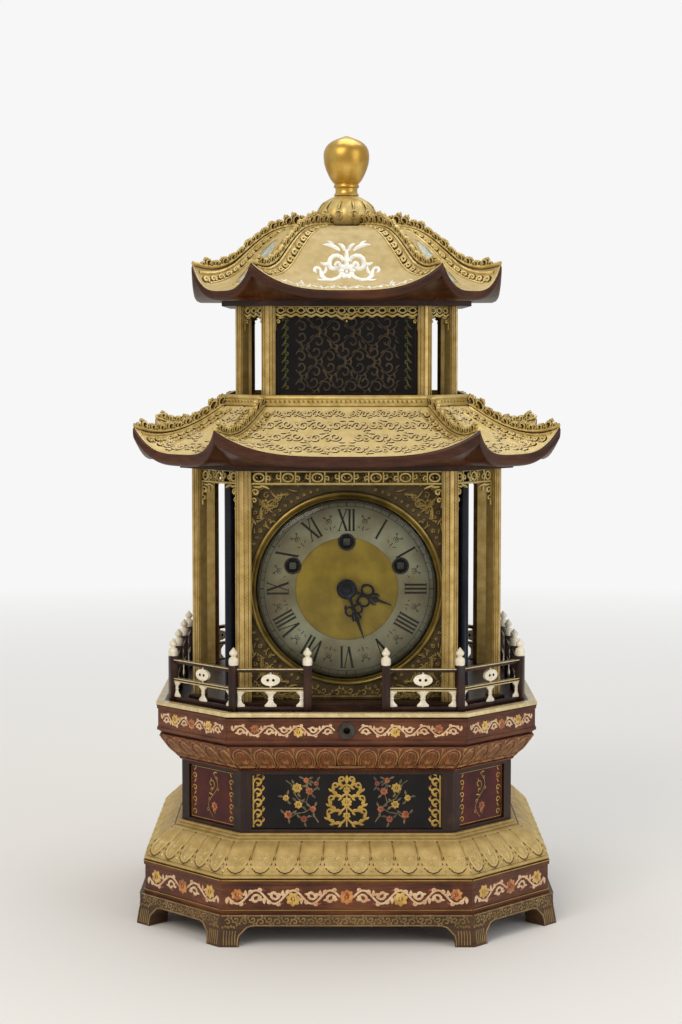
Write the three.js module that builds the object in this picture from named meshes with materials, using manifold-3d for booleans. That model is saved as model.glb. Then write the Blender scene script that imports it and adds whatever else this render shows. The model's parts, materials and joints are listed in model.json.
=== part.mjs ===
// Table clock in the form of a two-storey pavilion on a lotus base.
// Millimetres, +Z up, front towards -Y, origin at the middle of the base on the table.
import * as THREE from 'three';
import { mergeVertices } from 'three/addons/utils/BufferGeometryUtils.js';
import Module from 'manifold-3d';

const wasm = await Module();
wasm.setup();

// Clearances
const seatGap = 0.3; // between two pieces that touch on a sloping or round face
const slideGap = 0.5; // beside and under the drawer
const runGap = 0.4; // round an arbor in its plate

// Plan sizes: every level is a square with its corners cut off.
// half is half the width over the flats, cut is the leg of the 45 degree corner.
const footPlan = { half: 190.7, cut: 79.2 };
const footLip = 6.7; // how far the foot stands out under the frieze
const friezePlan = { half: footPlan.half - footLip, cut: 74 };
const waistPlan = { half: 150, cut: 56 };
const deckPlan = { half: 172.2, cut: 66.4 };
const deckLip = 0.6; // how far the deck stands over the frieze below it
const upperFriezePlan = { half: deckPlan.half - deckLip, cut: 65.9 };
const columnPlan = { half: 139.8, cut: 46.3 };
const lowerEavePlan = { half: 190, cut: 76 };
const lowerRoofTopPlan = { half: 112, cut: 37 };
const upperColumnPlan = { half: 101, cut: 29.1 };
const upperEavePlan = { half: 139, cut: 55 };
const upperRoofTopPlan = { half: 34, cut: 13 };

// Heights of the base, from the table up
const footHeight = 28;
const lowerFriezeHeight = 30;
const lowerLotusHeight = 29;
const sillMouldingHeight = 5;
const waistHeight = 55.5;
const upperLotusHeight = 29;
const upperFriezeHeight = 22;
const deckThickness = 4.3;

// Heights of the two storeys
const sillThickness = 4.5;
const columnHeight = 206.2;
const ceilingThickness = 4;
const lowerRoofRise = 51;
const upperFloorThickness = 6;
const upperColumnHeight = 84;
const upperCeilingThickness = 4.5;
const upperRoofRise = 70;

const z = {};
z.friezeBottom = footHeight;
z.lotusBottom = z.friezeBottom + lowerFriezeHeight;
z.mouldingBottom = z.lotusBottom + lowerLotusHeight;
z.waistBottom = z.mouldingBottom + sillMouldingHeight;
z.waistTop = z.waistBottom + waistHeight;
z.upperFriezeBottom = z.waistTop + upperLotusHeight;
z.deckBottom = z.upperFriezeBottom + upperFriezeHeight;
z.deckTop = z.deckBottom + deckThickness;
z.columnBottom = z.deckTop + sillThickness;
z.columnTop = z.columnBottom + columnHeight;
z.lowerRoofBottom = z.columnTop + ceilingThickness;
z.lowerRoofTop = z.lowerRoofBottom + lowerRoofRise;
z.upperColumnBottom = z.lowerRoofTop + upperFloorThickness;
z.upperColumnTop = z.upperColumnBottom + upperColumnHeight;
z.upperRoofBottom = z.upperColumnTop + upperCeilingThickness;
z.upperRoofTop = z.upperRoofBottom + upperRoofRise;

// Finishes
const finish = (color, roughness, metalness) => ({ color, roughness, metalness });
const hardwood = finish(0x3a2118, 0.45, 0);
const inlaidWood = finish(0x5a3222, 0.4, 0);
const lotusWood = finish(0x6e5630, 0.5, 0.1);
const upperLotusWood = finish(0x5c3c28, 0.45, 0.05);
const blackLacquer = finish(0x15110f, 0.2, 0);
const giltBrass = finish(0xb98f3e, 0.32, 1);
const roofGilt = finish(0xa98d58, 0.5, 0.35);
const silvered = finish(0x7f8578, 0.35, 0.9);
const bluedSteel = finish(0x23242a, 0.3, 0.9);
const plateBrass = finish(0xa88a45, 0.35, 1);
const steel = finish(0x8a8b8c, 0.35, 1);
const glass = finish(0xd8e2dc, 0.05, 0);

const clock = new THREE.Group();

function addPiece(name, geometry, look) {
  const material = new THREE.MeshStandardMaterial(look);
  if (look === glass) {
    material.transparent = true;
    material.opacity = 0.25;
  }
  const mesh = new THREE.Mesh(geometry, material);
  mesh.name = name;
  clock.add(mesh);
  return mesh;
}

// Solids

function toSolid(geometry) {
  const bare = geometry.clone();
  bare.deleteAttribute('normal');
  bare.deleteAttribute('uv');
  const merged = mergeVertices(bare, 1e-4);
  const mesh = new wasm.Mesh({
    numProp: 3,
    vertProperties: new Float32Array(merged.attributes.position.array),
    triVerts: new Uint32Array(merged.index.array),
  });
  return new wasm.Manifold(mesh);
}

function toGeometry(solid) {
  const mesh = solid.getMesh();
  const geometry = new THREE.BufferGeometry();
  geometry.setAttribute('position', new THREE.BufferAttribute(mesh.vertProperties, 3));
  geometry.setIndex(new THREE.BufferAttribute(mesh.triVerts, 1));
  geometry.computeVertexNormals();
  return geometry;
}

const joined = (...pieces) => toGeometry(pieces.map(toSolid).reduce((sum, piece) => sum.add(piece)));
const trimmed = (piece, ...tools) =>
  toGeometry(tools.map(toSolid).reduce((left, tool) => left.subtract(tool), toSolid(piece)));
const common = (piece, tool) => toGeometry(toSolid(piece).intersect(toSolid(tool)));

// A skin over rings of points. A looped skin runs from the last ring back to the first.
function skin(rings, looped = false) {
  const count = rings[0].length;
  const positions = [];
  const faces = [];
  for (const ring of rings) for (const point of ring) positions.push(point.x, point.y, point.z);
  const bands = looped ? rings.length : rings.length - 1;
  for (let band = 0; band < bands; band++) {
    const low = band * count;
    const high = ((band + 1) % rings.length) * count;
    for (let i = 0; i < count; i++) {
      const next = (i + 1) % count;
      faces.push(low + i, low + next, high + next, low + i, high + next, high + i);
    }
  }
  if (!looped) {
    const last = (rings.length - 1) * count;
    for (let i = 1; i < count - 1; i++) {
      faces.push(0, i + 1, i);
      faces.push(last, last + i, last + i + 1);
    }
  }
  const geometry = new THREE.BufferGeometry();
  geometry.setAttribute('position', new THREE.Float32BufferAttribute(positions, 3));
  geometry.setIndex(volumeOf(positions, faces) < 0 ? faces.reverse() : faces);
  return geometry;
}

function volumeOf(positions, faces) {
  const at = (index) => new THREE.Vector3().fromArray(positions, 3 * index);
  let volume = 0;
  for (let i = 0; i < faces.length; i += 3) {
    volume += at(faces[i]).dot(at(faces[i + 1]).cross(at(faces[i + 2]))) / 6;
  }
  return volume;
}

const box = (x0, x1, y0, y1, z0, z1) =>
  new THREE.BoxGeometry(x1 - x0, y1 - y0, z1 - z0)
    .translate((x0 + x1) / 2, (y0 + y1) / 2, (z0 + z1) / 2);

// A flat shape drawn in X and Z, with its thickness along Y up to yBack
const facing = (shape, thickness, yBack, curveSegments = 6) =>
  new THREE.ExtrudeGeometry(shape, { depth: thickness, bevelEnabled: false, curveSegments })
    .rotateX(Math.PI / 2)
    .translate(0, yBack, 0);

// A flat shape drawn in X and Y, standing up from zBottom
const upright = (shape, height, zBottom) =>
  new THREE.ExtrudeGeometry(shape, { depth: height, bevelEnabled: false, curveSegments: 6 })
    .translate(0, 0, zBottom);

// A profile is turned in whichever direction leaves its faces pointing out
function turned(profile, segments) {
  const geometry = new THREE.LatheGeometry(profile.map(([r, height]) => new THREE.Vector2(r, height)), segments);
  const faces = Array.from(geometry.index.array);
  if (volumeOf(geometry.attributes.position.array, faces) < 0) geometry.setIndex(faces.reverse());
  return geometry;
}

// A turned piece about the Y axis at x and z, from [radius, y] points
const turnedAlongY = (profile, x, zAxis, segments = 24) => turned(profile, segments).translate(x, 0, zAxis);

// A turned piece about an upright axis, from [radius, z] points
const turnedUpright = (profile, x, y, segments = 24) =>
  turned(profile, segments).rotateX(Math.PI / 2).translate(x, y, 0);

const rodAlongY = (radius, y0, y1, x, zAxis, segments = 12) =>
  turnedAlongY([[0, y0], [radius, y0], [radius, y1], [0, y1]], x, zAxis, segments);

const shapeOf = (points) => new THREE.Shape(points.map(([x, y]) => new THREE.Vector2(x, y)));

// Plan geometry

// The plan drawn in by a distance on all eight sides
const inset = (plan, distance) => ({
  half: plan.half - distance,
  cut: plan.cut - distance * (2 - Math.SQRT2),
});

function corners(plan, height = 0) {
  const { half, cut } = plan;
  const near = half - cut;
  return [
    [-near, -half], [near, -half], [half, -near], [half, near],
    [near, half], [-near, half], [-half, near], [-half, -near],
  ].map(([x, y]) => new THREE.Vector3(x, y, height));
}

const board = (plan, zBottom, zTop) => skin([corners(plan, zBottom), corners(plan, zTop)]);

function ring(outer, innerPlan) {
  const rings = outer.map(([plan, height]) => corners(plan, height));
  const top = outer[outer.length - 1][1];
  return skin([...rings, corners(innerPlan, top), corners(innerPlan, outer[0][1])], true);
}

// Side number n of a plan, counted from the front: its half length and its distance out
function sideOf(plan, n) {
  const straight = n % 2 === 0;
  return {
    halfLength: straight ? plan.half - plan.cut : plan.cut / Math.SQRT2,
    distance: straight ? plan.half : (2 * plan.half - plan.cut) / Math.SQRT2,
    turn: (n * Math.PI) / 4,
  };
}

const sideNames = ['front', 'front_right', 'right', 'rear_right', 'rear', 'rear_left', 'left', 'front_left'];
const sideNumbers = [...sideNames.keys()];

// Foot frame: an apron on eight bracket feet

const footWidth = 17;
const apronHeight = 10.5;
const footFrameSeat = 15.3; // how far the frame reaches in under the frieze
const footFrameWall = footLip + footFrameSeat;
const footBracketReach = 13;
const footTopInset = 3;

function footFrame() {
  const top = inset(footPlan, footTopInset);
  const inner = inset(footPlan, footFrameWall);
  const apronBottom = footHeight - apronHeight;
  const body = ring([[footPlan, 0], [inset(footPlan, 0.8), 5], [top, apronBottom], [top, footHeight]], inner);
  const gaps = sideNumbers.map((n) => {
    const { halfLength, distance, turn } = sideOf(footPlan, n);
    const open = halfLength - footWidth;
    const shape = new THREE.Shape();
    shape.moveTo(-open, -2);
    shape.lineTo(-open, 4);
    shape.bezierCurveTo(-open, 11, -open + 4, 12, -open + 6, apronBottom - 3);
    shape.quadraticCurveTo(-open + 8, apronBottom, -open + footBracketReach, apronBottom);
    shape.lineTo(open - footBracketReach, apronBottom);
    shape.quadraticCurveTo(open - 8, apronBottom, open - 6, apronBottom - 3);
    shape.bezierCurveTo(open - 4, 12, open, 11, open, 4);
    shape.lineTo(open, -2);
    return facing(shape, footFrameWall + 12, -distance + footFrameWall + 4, 3).rotateZ(turn);
  });
  addPiece('foot_frame', trimmed(body, ...gaps), hardwood);
}

// Lower frieze: a shallow tray of boards with a floor

const friezeWall = 12;
const trayFloor = 8;
const friezeBorder = 1.2;

function lowerFrieze() {
  const inner = inset(friezePlan, friezeWall);
  const low = z.friezeBottom;
  const high = z.lotusBottom;
  const panel = inset(friezePlan, friezeBorder);
  const rings = [
    [friezePlan, low], [friezePlan, low + 3], [panel, low + 3.6],
    [panel, high - 4.6], [friezePlan, high - 4], [friezePlan, high],
    [inner, high], [inner, low + trayFloor],
  ];
  addPiece('lower_frieze', skin(rings.map(([plan, height]) => corners(plan, height))), inlaidWood);
}

// Lotus bands: a moulding that swells out over the frieze below

const lowerLotusTop = { half: 155.3, cut: 58 };
const lowerLotusInner = { half: 136, cut: 48 };

function lowerLotusBand() {
  const low = z.lotusBottom;
  const mix = (share) => ({
    half: THREE.MathUtils.lerp(friezePlan.half - 1, lowerLotusTop.half + 1.5, share),
    cut: THREE.MathUtils.lerp(friezePlan.cut, lowerLotusTop.cut, share),
  });
  const h = lowerLotusHeight;
  const outer = [
    [inset(friezePlan, 1.5), low], [inset(friezePlan, 0.4), low + 1.5], [inset(friezePlan, 0.4), low + 3],
    [mix(0.05), low + 4], [mix(0.12), low + 0.34 * h], [mix(0.36), low + 0.55 * h],
    [mix(0.66), low + 0.78 * h], [mix(1), low + h],
    [lowerLotusTop, low + h + 0.6], [lowerLotusTop, low + h + 2.6],
    [inset(lowerLotusTop, 2.5), low + h + 3], [inset(lowerLotusTop, 2.5), z.waistBottom],
  ];
  addPiece('lower_lotus_band', ring(outer, lowerLotusInner), lotusWood);
}

// Waist: eight corner posts between two rails, with panels let in from behind

const waistWall = 16;
const postWidth = 9.6;
const waistRail = 3;
const lipThickness = 2.5;
const panelRebate = 3;
const panelThickness = 6;

function waist() {
  const rebatePlan = inset(waistPlan, lipThickness);
  let body = ring([[waistPlan, z.waistBottom], [waistPlan, z.waistTop]], inset(waistPlan, waistWall));
  const low = z.waistBottom + waistRail;
  const high = z.waistTop - waistRail;
  const cutters = sideNumbers.flatMap((n) => {
    const { halfLength, distance, turn } = sideOf(waistPlan, n);
    const open = halfLength - postWidth;
    const front = -distance;
    if (n % 2) {
      return [box(-open, open, front - 1, front + lipThickness, low, high).rotateZ(turn)];
    }
    const seat = open + panelRebate;
    return [
      box(-open, open, front - 1, front + lipThickness + 1, low, high),
      box(-seat, seat, front + lipThickness, front + waistWall + 1, low - 1.5, high + 1.5),
    ].map((tool) => tool.rotateZ(turn));
  });
  addPiece('waist_frame', trimmed(body, ...cutters), hardwood);
  for (const n of [0, 2, 4, 6]) {
    const { distance, turn } = sideOf(rebatePlan, n);
    const seat = sideOf(waistPlan, n).halfLength - postWidth + panelRebate - seatGap;
    const panel = box(-seat, seat, -distance, -distance + panelThickness, low - 1.5, high + 1.5 - seatGap);
    addPiece(`waist_panel_${sideNames[n]}`, panel.rotateZ(turn), blackLacquer);
  }
}

// Upper lotus band and upper frieze. The front of both is the front of a drawer,
// mitred at the two front corners.

const upperBandInner = { half: 141.3, cut: 51 };
const upperFriezeWall = 21.6;
const upperFriezeInner = { half: upperFriezePlan.half - upperFriezeWall, cut: 55 };
const upperLotusTop = { half: 168.8, cut: 64.5 };

function upperLotusProfile() {
  const low = z.waistTop;
  const h = upperLotusHeight;
  const mix = (share) => ({
    half: THREE.MathUtils.lerp(waistPlan.half, upperLotusTop.half, share),
    cut: THREE.MathUtils.lerp(waistPlan.cut, upperLotusTop.cut, share),
  });
  return [
    [inset(waistPlan, -1), low], [inset(waistPlan, -2.5), low + 1.5], [inset(waistPlan, -1), low + 3],
    [mix(0.12), low + 3.4], [mix(0.45), low + 0.36 * h], [mix(0.76), low + 0.6 * h],
    [mix(0.96), low + 0.8 * h], [mix(1), low + 0.87 * h],
    [mix(0.86), low + 0.9 * h], [mix(0.86), low + 0.95 * h],
    [inset(upperFriezePlan, 2), low + 0.96 * h], [inset(upperFriezePlan, 2), low + h],
  ];
}

function upperFriezeProfile() {
  const low = z.upperFriezeBottom;
  const high = z.deckBottom;
  const panel = inset(upperFriezePlan, 1);
  return [
    [upperFriezePlan, low], [upperFriezePlan, low + 2.4], [panel, low + 2.9],
    [panel, high - 2.9], [upperFriezePlan, high - 2.4], [upperFriezePlan, high],
  ];
}

// The space of the drawer front, grown by a clearance on both mitres
function drawerWedge(grow) {
  const out = 14;
  const into = 48;
  const tilt = Math.PI / 8;
  const level = (plan, height) => {
    const x = plan.half - plan.cut + grow;
    const y = plan.half;
    const xOut = x + out * Math.sin(tilt);
    const yOut = -(y + out * Math.cos(tilt));
    const xIn = x - into * Math.sin(tilt);
    const yIn = -(y - into * Math.cos(tilt));
    return [[-xOut, yOut], [xOut, yOut], [xIn, yIn], [-xIn, yIn]]
      .map(([px, py]) => new THREE.Vector3(px, py, height));
  };
  return skin([
    level(waistPlan, z.waistTop - 2),
    level(upperFriezePlan, z.upperFriezeBottom),
    level(upperFriezePlan, z.deckBottom + 2),
  ]);
}

const drawer = { halfWidth: 84, length: 200, wall: 5, floor: 4, sideHeight: 38 };
const boardThickness = 4;
const runnerWidth = 6;
const runnerHeight = 8;
const keyhole = { z: 187.5, radius: 3.1, depth: 12, escutcheonRadius: 6.2, escutcheonThickness: 1.2 };

function drawerSpace() {
  const lotus = ring(upperLotusProfile(), upperBandInner);
  const frieze = ring(upperFriezeProfile(), upperFriezeInner);
  addPiece('upper_lotus_band', trimmed(lotus, drawerWedge(seatGap)), upperLotusWood);
  addPiece('upper_frieze', trimmed(frieze, drawerWedge(seatGap)), inlaidWood);

  const frontHigh = z.deckBottom - slideGap;
  const frontLow = z.waistTop + slideGap;
  const reach = friezePlan.half + 10;
  const slice = box(-reach, reach, -reach, 0, frontLow, frontHigh);
  const block = common(common(joined(lotus, frieze), drawerWedge(0)), slice);
  const hole = rodAlongY(keyhole.radius, -upperFriezePlan.half - 2, -upperFriezePlan.half + keyhole.depth, 0, keyhole.z);
  addPiece('drawer_front', trimmed(block, hole), inlaidWood);

  const face = -upperFriezePlan.half + 1 - seatGap / 3;
  const washer = turnedAlongY([
    [keyhole.radius, face], [keyhole.escutcheonRadius, face],
    [keyhole.escutcheonRadius, face - keyhole.escutcheonThickness * 0.6],
    [keyhole.escutcheonRadius - 1, face - keyhole.escutcheonThickness],
    [keyhole.radius, face - keyhole.escutcheonThickness], [keyhole.radius, face],
  ], 0, keyhole.z, 20);
  addPiece('drawer_escutcheon', washer, giltBrass);

  const boardPlan = inset(upperBandInner, seatGap);
  const boardTop = z.waistTop + boardThickness;
  const frontEdge = -upperBandInner.half - seatGap;
  const railIn = drawer.halfWidth + slideGap;
  const runners = [-1, 1].map((side) => {
    const x = [side * railIn, side * (railIn + runnerWidth)].sort((a, b) => a - b);
    return box(x[0], x[1], -upperBandInner.half + 18, drawer.length - upperBandInner.half + 8,
      boardTop - 1, boardTop + runnerHeight);
  });
  addPiece('drawer_board', joined(board(boardPlan, z.waistTop, boardTop), ...runners), hardwood);

  const low = boardTop + slideGap;
  const tray = box(-drawer.halfWidth, drawer.halfWidth, frontEdge + 2 * seatGap,
    frontEdge + drawer.length, low, low + drawer.sideHeight);
  const hollow = box(-drawer.halfWidth + drawer.wall, drawer.halfWidth - drawer.wall,
    frontEdge + 2 * seatGap + drawer.wall, frontEdge + drawer.length - drawer.wall,
    low + drawer.floor, low + drawer.sideHeight + 1);
  addPiece('drawer_tray', trimmed(tray, hollow), hardwood);
}

function deck() {
  const edge = 0.7;
  const outer = [
    [inset(deckPlan, edge), z.deckBottom], [deckPlan, z.deckBottom + edge],
    [deckPlan, z.deckTop - edge], [inset(deckPlan, edge), z.deckTop],
  ];
  addPiece('deck', skin(outer.map(([plan, height]) => corners(plan, height))), hardwood);
}

// Balustrade: posts with turned finials, three rails, an oval and a baluster in each bay

const sillReach = 3.7;
const galleryWidth = deckPlan.half - columnPlan.half - sillReach;
const rail = {
  planInset: 0.53 * galleryWidth, postWidth: 7.4, postHeight: 40.5, finialHeight: 15.6, gateHalf: 34.5,
  bottomHigh: 3.6, midLow: 17.4, midHigh: 20.4, topLow: 34, topHigh: 37.4, thickness: 3.6,
};

function railPost(x, y, turn) {
  const half = rail.postWidth / 2;
  const top = z.deckTop + rail.postHeight;
  const post = box(-half, half, -half, half, z.deckTop, top).rotateZ(turn).translate(x, y, 0);
  const h = rail.finialHeight;
  const finial = turnedUpright([
    [0, top - 1], [4.4, top - 1], [4.4, top + 0.42 * h], [2.2, top + 0.5 * h], [3.8, top + 0.66 * h], [0, top + h],
  ], x, y, 6);
  return [post, finial];
}

// One bay between two posts: a fret with three rails, an oval above and a baluster below
function railBay(from, to) {
  const half = from.distanceTo(to) / 2 - rail.postWidth / 2 + 1;
  const deckTop = z.deckTop;
  const lowerOpening = [
    [-half, rail.bottomHigh], [-5.5, rail.bottomHigh], [-1.8, rail.bottomHigh + 6],
    [-8, rail.midLow - 3], [-8.4, rail.midLow], [-half, rail.midLow],
  ];
  const ovalMiddle = (rail.midHigh + rail.topLow) / 2;
  const upperOpening = [
    [-half, rail.midHigh], [-1.5, rail.midHigh], [-6.6, ovalMiddle - 4.6], [-8.4, ovalMiddle],
    [-6.6, ovalMiddle + 4.6], [-1.5, rail.topLow], [-half, rail.topLow],
  ];
  const jamb = 2.4;
  const holes = [lowerOpening, upperOpening].flatMap((opening) => [-1, 1].map((side) => {
    const points = opening.map(([x, height]) => [side * Math.max(x, -half + jamb), deckTop + height]);
    return facing(shapeOf(points), rail.thickness + 2, rail.thickness / 2 + 1);
  }));
  const plank = box(-half, half, -rail.thickness / 2, rail.thickness / 2, deckTop, deckTop + rail.topHigh);
  const middle = from.clone().add(to).multiplyScalar(0.5);
  return trimmed(plank, ...holes)
    .rotateZ(Math.atan2(to.y - from.y, to.x - from.x))
    .translate(middle.x, middle.y, 0);
}

function balustrades() {
  const plan = inset(deckPlan, rail.planInset);
  const points = corners(plan);
  const gate = new THREE.Vector3(rail.gateHalf, -plan.half, 0);
  const side = new THREE.Vector3(plan.half, -rail.gateHalf, 0);
  const rear = new THREE.Vector3(rail.gateHalf, plan.half, 0);
  const flip = (p) => new THREE.Vector3(p.x, -p.y, 0);
  const right = [gate, points[1], points[2], side, flip(side), points[3], points[4], rear];
  const turns = [0, 22.5, 67.5, 90, 90, 112.5, 157.5, 0].map(THREE.MathUtils.degToRad);
  for (const [name, sign] of [['balustrade_right', 1], ['balustrade_left', -1]]) {
    const place = right.map((p) => new THREE.Vector3(sign * p.x, p.y, 0));
    const pieces = place.flatMap((p, i) => railPost(p.x, p.y, sign * turns[i]));
    for (let i = 0; i < place.length - 1; i++) pieces.push(railBay(place[i], place[i + 1]));
    if (sign > 0) {
      const last = place[place.length - 1];
      const end = new THREE.Vector3(-last.x + seatGap + 1, last.y, 0);
      pieces.push(railBay(last, end));
    }
    addPiece(name, joined(...pieces), hardwood);
  }
}

// Lower storey

const sillInner = { half: 70, cut: 25 };
const column = { face: 9, depth: 10, groove: 0.9 };
const upperColumn = { face: 8, depth: 9, groove: 0.8 };
const fretThickness = 2.4;

// Plan of a corner column: it wraps the corner, with a groove down each outer face
function columnShape(plan, n, size) {
  const points = corners(plan);
  const corner = points[n];
  const along = (to) => to.clone().sub(corner).normalize();
  const sides = [along(points[(n + 7) % 8]), along(points[(n + 1) % 8])];
  const inwards = [-1, 1].map((turn, i) => new THREE.Vector3(-turn * sides[i].y, turn * sides[i].x, 0));
  const at = (side, distance, depth) => {
    const p = corner.clone().addScaledVector(sides[side], distance).addScaledVector(inwards[side], depth);
    return new THREE.Vector2(p.x, p.y);
  };
  const grooves = (side) => [0.32, 0.48, 0.64].map((share, i) => at(side, share * size.face, i === 1 ? size.groove : 0));
  const back = size.depth / Math.tan((67.5 * Math.PI) / 180);
  return new THREE.Shape([
    at(0, size.face, size.depth), at(0, size.face, 0), ...grooves(0).reverse(),
    at(0, 0, 0), ...grooves(1), at(1, size.face, 0), at(1, size.face, size.depth),
    at(0, back, size.depth),
  ]);
}

// A fretwork band in the middle of the columns' depth, with a bracket beside each column
function fretRing(plan, size, zTop, bandHeight, dropHeight, holesPerSide) {
  const middle = inset(plan, size.depth / 2 - fretThickness / 2);
  const low = zTop - bandHeight;
  const foot = low - dropHeight;
  const body = ring([[middle, foot], [middle, zTop]], inset(middle, fretThickness));
  const tools = sideNumbers.flatMap((n) => {
    const { halfLength, distance, turn } = sideOf(middle, n);
    const open = sideOf(plan, n).halfLength - size.face - seatGap;
    const past = halfLength + 2;
    const shape = new THREE.Shape();
    shape.moveTo(-past, foot - 1);
    shape.lineTo(past, foot - 1);
    shape.lineTo(past, low);
    shape.lineTo(open, low);
    shape.lineTo(open, foot);
    shape.quadraticCurveTo(open - 1, low - dropHeight / 2, open - 5, low - dropHeight * 0.4);
    shape.quadraticCurveTo(open - 5, low - 2, open - 11, low);
    shape.lineTo(-open + 11, low);
    shape.quadraticCurveTo(-open + 5, low - 2, -open + 5, low - dropHeight * 0.4);
    shape.quadraticCurveTo(-open + 1, low - dropHeight / 2, -open, foot);
    shape.lineTo(-open, low);
    shape.lineTo(-past, low);
    const count = n % 2 ? Math.max(2, Math.round(holesPerSide / 3)) : holesPerSide;
    const pitch = (2 * open - 4) / count;
    const cuts = [shape];
    for (let i = 0; i < count; i++) {
      const hole = new THREE.Shape();
      hole.absellipse(-open + 2 + pitch * (i + 0.5), zTop - bandHeight / 2, pitch * 0.34, bandHeight * 0.27, 0, 2 * Math.PI);
      cuts.push(hole);
    }
    return cuts.map((cut) => facing(cut, fretThickness + 2, -distance + fretThickness + 1, 3).rotateZ(turn));
  });
  return trimmed(body, ...tools);
}

const valance = { band: 13, drop: 21, holes: 6 };
const upperValance = { band: 10.5, drop: 12, holes: 5 };

function lowerStorey() {
  const sillPlan = inset(columnPlan, -sillReach);
  addPiece('storey_sill', ring([
    [sillPlan, z.deckTop], [sillPlan, z.columnBottom - 1.2], [inset(sillPlan, 1.2), z.columnBottom],
  ], sillInner), hardwood);

  const slotLow = z.columnTop - valance.band - seatGap;
  const slotPlan = inset(columnPlan, column.depth / 2 - fretThickness / 2 - seatGap);
  const slot = ring([[slotPlan, slotLow], [slotPlan, z.columnTop + 1]], inset(slotPlan, fretThickness + 2 * seatGap));
  const columnNames = ['front_left', 'front_right', 'right_front', 'right_rear',
    'rear_right', 'rear_left', 'left_rear', 'left_front'];
  columnNames.forEach((name, n) => {
    const shaft = upright(columnShape(columnPlan, n, column), columnHeight, z.columnBottom);
    addPiece(`column_${name}`, trimmed(shaft, slot), giltBrass);
  });
  addPiece('lower_valance',
    fretRing(columnPlan, column, z.columnTop, valance.band, valance.drop, valance.holes), giltBrass);
  addPiece('lower_ceiling', board(inset(columnPlan, -10.2), z.columnTop, z.lowerRoofBottom), hardwood);
}

// Dial and hands

const dial = {
  z: 307, plateFront: -123.3, plateThickness: 2.5, plateHalf: 91, ringOuter: 79.7, ringInner: 46,
  ringThickness: 1.5, bezelOuter: 87, bezelInner: 80.8, bezelFront: -129.5, bulge: 9, glassThickness: 1.8,
  holeRadius: 6.5,
};
const windingPlaces = { going: [0, 42], strike: [-48, 20.6], chime: [48, 20.6] };
const centreHole = 5.2;

const windingHoles = (radius) => Object.values(windingPlaces)
  .map(([x, up]) => rodAlongY(radius, dial.plateFront - 5, dial.plateFront + 5, x, dial.z + up));

function dialPieces() {
  const back = dial.plateFront + dial.plateThickness;
  const plate = box(-dial.plateHalf, dial.plateHalf, dial.plateFront, back,
    z.columnBottom + seatGap, z.columnTop - seatGap);
  const centre = rodAlongY(centreHole, dial.plateFront - 5, dial.plateFront + 5, 0, dial.z, 20);
  addPiece('dial_plate', trimmed(plate, centre, ...windingHoles(dial.holeRadius)), plateBrass);

  const ringFront = dial.plateFront - dial.ringThickness;
  const chapter = turnedAlongY([
    [dial.ringInner, dial.plateFront], [dial.ringOuter, dial.plateFront], [dial.ringOuter, ringFront],
    [dial.ringInner, ringFront], [dial.ringInner, dial.plateFront],
  ], 0, dial.z, 40);
  addPiece('chapter_ring', trimmed(chapter, ...windingHoles(dial.holeRadius)), silvered);

  const bezel = turnedAlongY([
    [dial.bezelInner, dial.plateFront - 0.1], [dial.bezelOuter, dial.plateFront - 0.1],
    [dial.bezelOuter, dial.bezelFront + 2], [dial.bezelOuter - 2, dial.bezelFront],
    [dial.bezelInner, dial.bezelFront + 1.6], [dial.bezelInner, dial.plateFront - 0.1],
  ], 0, dial.z, 40);
  addPiece('bezel', bezel, giltBrass);

  const rim = dial.bezelFront + 2;
  const glassRadius = dial.bezelInner - seatGap;
  const dome = [];
  const steps = 3;
  for (let i = 0; i <= steps; i++) {
    const r = (glassRadius * i) / steps;
    dome.push([r, rim - dial.bulge * (1 - (i / steps) ** 2)]);
  }
  const inside = dome.map(([r, y]) => [r, y + dial.glassThickness]).reverse();
  addPiece('bezel_glass', turnedAlongY([...dome, ...inside], 0, dial.z, 28), glass);
}

const hands = { hourLength: 43, minuteLength: 47, hourTurn: 110, minuteTurn: 161, thickness: 1.1 };

// A hand pointing up from the dial centre, with a pierced body and a tapering tip
function hand(length, boss, body, front, turn, hole) {
  const shape = new THREE.Shape();
  const wide = body.width / 2;
  shape.moveTo(0, length);
  shape.lineTo(-0.9, body.top);
  shape.lineTo(-wide * 0.35, body.top - 2);
  shape.quadraticCurveTo(-wide * 1.05, body.top - 3, -wide, body.middle + 2);
  shape.quadraticCurveTo(-wide * 1.1, body.middle - 3, -wide * 0.4, body.bottom + 2);
  shape.lineTo(-1.6, body.bottom);
  shape.lineTo(-1.8, boss * 0.9);
  shape.absarc(0, 0, boss, Math.PI / 2 + 0.2, Math.PI / 2 - 0.2 + 2 * Math.PI, false);
  shape.lineTo(1.6, body.bottom);
  shape.lineTo(wide * 0.4, body.bottom + 2);
  shape.quadraticCurveTo(wide * 1.1, body.middle - 3, wide, body.middle + 2);
  shape.quadraticCurveTo(wide * 1.05, body.top - 3, wide * 0.35, body.top - 2);
  shape.lineTo(0.9, body.top);
  const bore = new THREE.Path();
  bore.absarc(0, 0, hole, 0, 2 * Math.PI);
  shape.holes.push(bore);
  for (const x of [-1, 1]) {
    const eye = new THREE.Path();
    eye.absellipse(x * wide * 0.48, body.middle, wide * 0.24, wide * 0.34, 0, 2 * Math.PI);
    shape.holes.push(eye);
  }
  return facing(shape, hands.thickness, 0, 4)
    .rotateY(THREE.MathUtils.degToRad(turn))
    .translate(0, front + hands.thickness, dial.z);
}

// Movement: two plates on a seat board, three barrels, the going train and a short pendulum

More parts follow.
